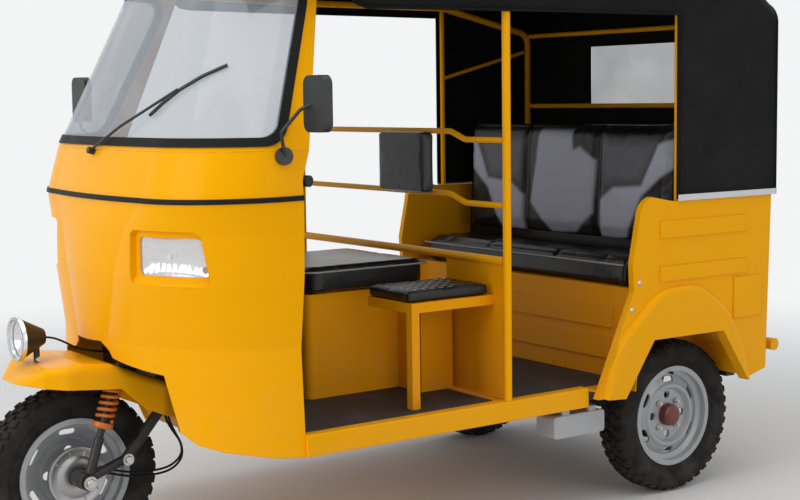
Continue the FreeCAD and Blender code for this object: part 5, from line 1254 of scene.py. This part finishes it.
def rounded_loop(low, high, z, corner, steps=6):
    """Points round a rectangle with round corners, in plan."""
    points = []
    middle = (low + high) / 2
    corners = ((high.x, high.y), (low.x, high.y), (low.x, low.y), (high.x, low.y))
    for quarter, (x, y) in enumerate(corners):
        cx = x - math.copysign(corner, x - middle.x)
        cy = y - math.copysign(corner, y - middle.y)
        for step in range(steps + 1):
            angle = math.pi / 2 * (quarter + step / steps)
            points.append(Vector((cx + corner * math.cos(angle), cy + corner * math.sin(angle), z)))
    return points + points[:1]


def make_seats():
    """The five cushions, and the piping of two of them."""
    stuffed("driver_seat", "driver_cushion", BLACK_VINYL, (0.012, 0.012, 0.008), 0.012,
            0.007, shape=driver_channels)
    stuffed("driver_back_pad", "driver_backrest", DARK_VINYL, (0.003, 0.003, 0.003),
            0.0015, 0.006, pressure=1.5)
    stuffed("extra_seat", "jump_seat_cushion", BLACK_VINYL, (0.006, 0.006, 0.005), 0.007,
            0.005, pressure=3.0, shape=quilted)
    stuffed("bench_seat", "bench_cushion", BLACK_VINYL, (0.012, 0.012, 0.010), 0.014,
            0.008, shape=bench_channels)
    stuffed("bench_back_pad", "bench_backrest", BENCH_VINYL, (0.012, 0.010, 0.005), 0.014,
            0.008, shape=back_channels, paint=pale_inserts_and_sheen)
    low, high = (Vector(corner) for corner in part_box("driver_cushion"))
    inset = Vector((0.010, 0.010, 0))
    seam = rounded_loop(low + inset, high - inset, high.z - 0.014, 0.045)
    bead("driver_seat_piping", seam, 0.0030, PIPING)
    low, high = (Vector(corner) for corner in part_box("bench_cushion"))
    start = Vector((low.x + 0.02, low.y + 0.006, high.z - 0.026))
    run = high.x - low.x - 0.04
    seam = [start + X * run * i / 12 for i in range(13)]
    bead("bench_seat_piping", seam, 0.0032, PIPING)


for place in WHEELS:
    make_tyre(place, WHEELS[place][0])
for place in ("rear_left", "rear_right", "front"):
    make_wheel_fittings(place + "_wheel", WHEELS[place][0], X * WHEELS[place][1])
make_front_strut()
make_headlamps()
make_lamp_sills()
make_brake_plate()
make_body_screws()
make_mudguard_lamp()
make_canopy()
make_seats()


# Studio

BACKDROP = (0.90, 0.905, 0.91, 1)


def backdrop_only(tree, share, shader, bare, output):
    """One shader lights the scene, a bare one is what the camera, mirrors and glass show."""
    path = tree.nodes.new("ShaderNodeLightPath")
    seen = maths(tree, "MAXIMUM", path.outputs["Is Camera Ray"], path.outputs["Is Glossy Ray"])
    seen = maths(tree, "MAXIMUM", seen, path.outputs["Is Transmission Ray"])
    mix = tree.nodes.new("ShaderNodeMixShader")
    tree.links.new(maths(tree, "MULTIPLY", seen, share), mix.inputs["Fac"])
    tree.links.new(shader.outputs[0], mix.inputs[1])
    tree.links.new(bare.outputs[0], mix.inputs[2])
    tree.links.new(mix.outputs[0], tree.nodes[output].inputs["Surface"])


def floor_finish():
    """Pale floor that fades into the white backdrop away from the vehicle, and keeps its shadow."""
    finish = Finish("studio_floor", (0.80, 0.80, 0.79), 0.9, Specular_IOR_Level=0.1)
    tree = finish.tree
    distance = on_piece(tree, add(tree, "ShaderNodeVectorMath", "LENGTH"))
    far = ramp(tree, distance.outputs["Value"], 1.9, 5.5)
    glow = add(tree, "ShaderNodeEmission", Color=BACKDROP)
    backdrop_only(tree, far, finish.shader, glow, "Material Output")
    return finish.material


def make_studio():
    """The floor and the even light all round."""
    sheet = bmesh.new()
    bmesh.ops.create_grid(sheet, x_segments=1, y_segments=1, size=40)
    data = bpy.data.meshes.new("studio_floor")
    sheet.to_mesh(data)
    sheet.free()
    data.materials.append(floor_finish())
    placed("studio_floor", data)
    world = bpy.data.worlds.new("studio")
    bpy.context.scene.world = world
    world.use_nodes = True
    tree = world.node_tree
    soft = tree.nodes["Background"]
    soft.inputs["Color"].default_value = (0.93, 0.96, 1.0, 1)
    soft.inputs["Strength"].default_value = 0.52
    white = add(tree, "ShaderNodeBackground", Color=BACKDROP, Strength=1.0)
    backdrop_only(tree, 1.0, soft, white, "World Output")


def soft_lamp(name, place, target, size, power, colour):
    """Large rectangular lamp turned towards a target."""
    data = bpy.data.lights.new(name, "AREA")
    data.shape = "RECTANGLE"
    data.size, data.size_y = size
    data.energy = power
    data.color = colour
    lamp = placed(name, data)
    lamp.location = place
    lamp.rotation_euler = (Vector(target) - Vector(place)).to_track_quat("-Z", "Y").to_euler()


make_studio()
soft_lamp("sky_light", (0.6, -1.0, 5.2), (0, 0, 0.8), (6.0, 5.0), 125, (1.0, 0.99, 0.97))
soft_lamp("side_light", (5.2, 0.9, 2.0), (0, 0.3, 0.8), (3.5, 2.6), 34, (1.0, 0.98, 0.95))
soft_lamp("front_light", (0.4, -5.9, 2.7), (0, -0.2, 0.8), (3.6, 3.0), 125, (1.0, 0.99, 0.97))

scene = bpy.context.scene
scene.view_settings.view_transform = "Standard"
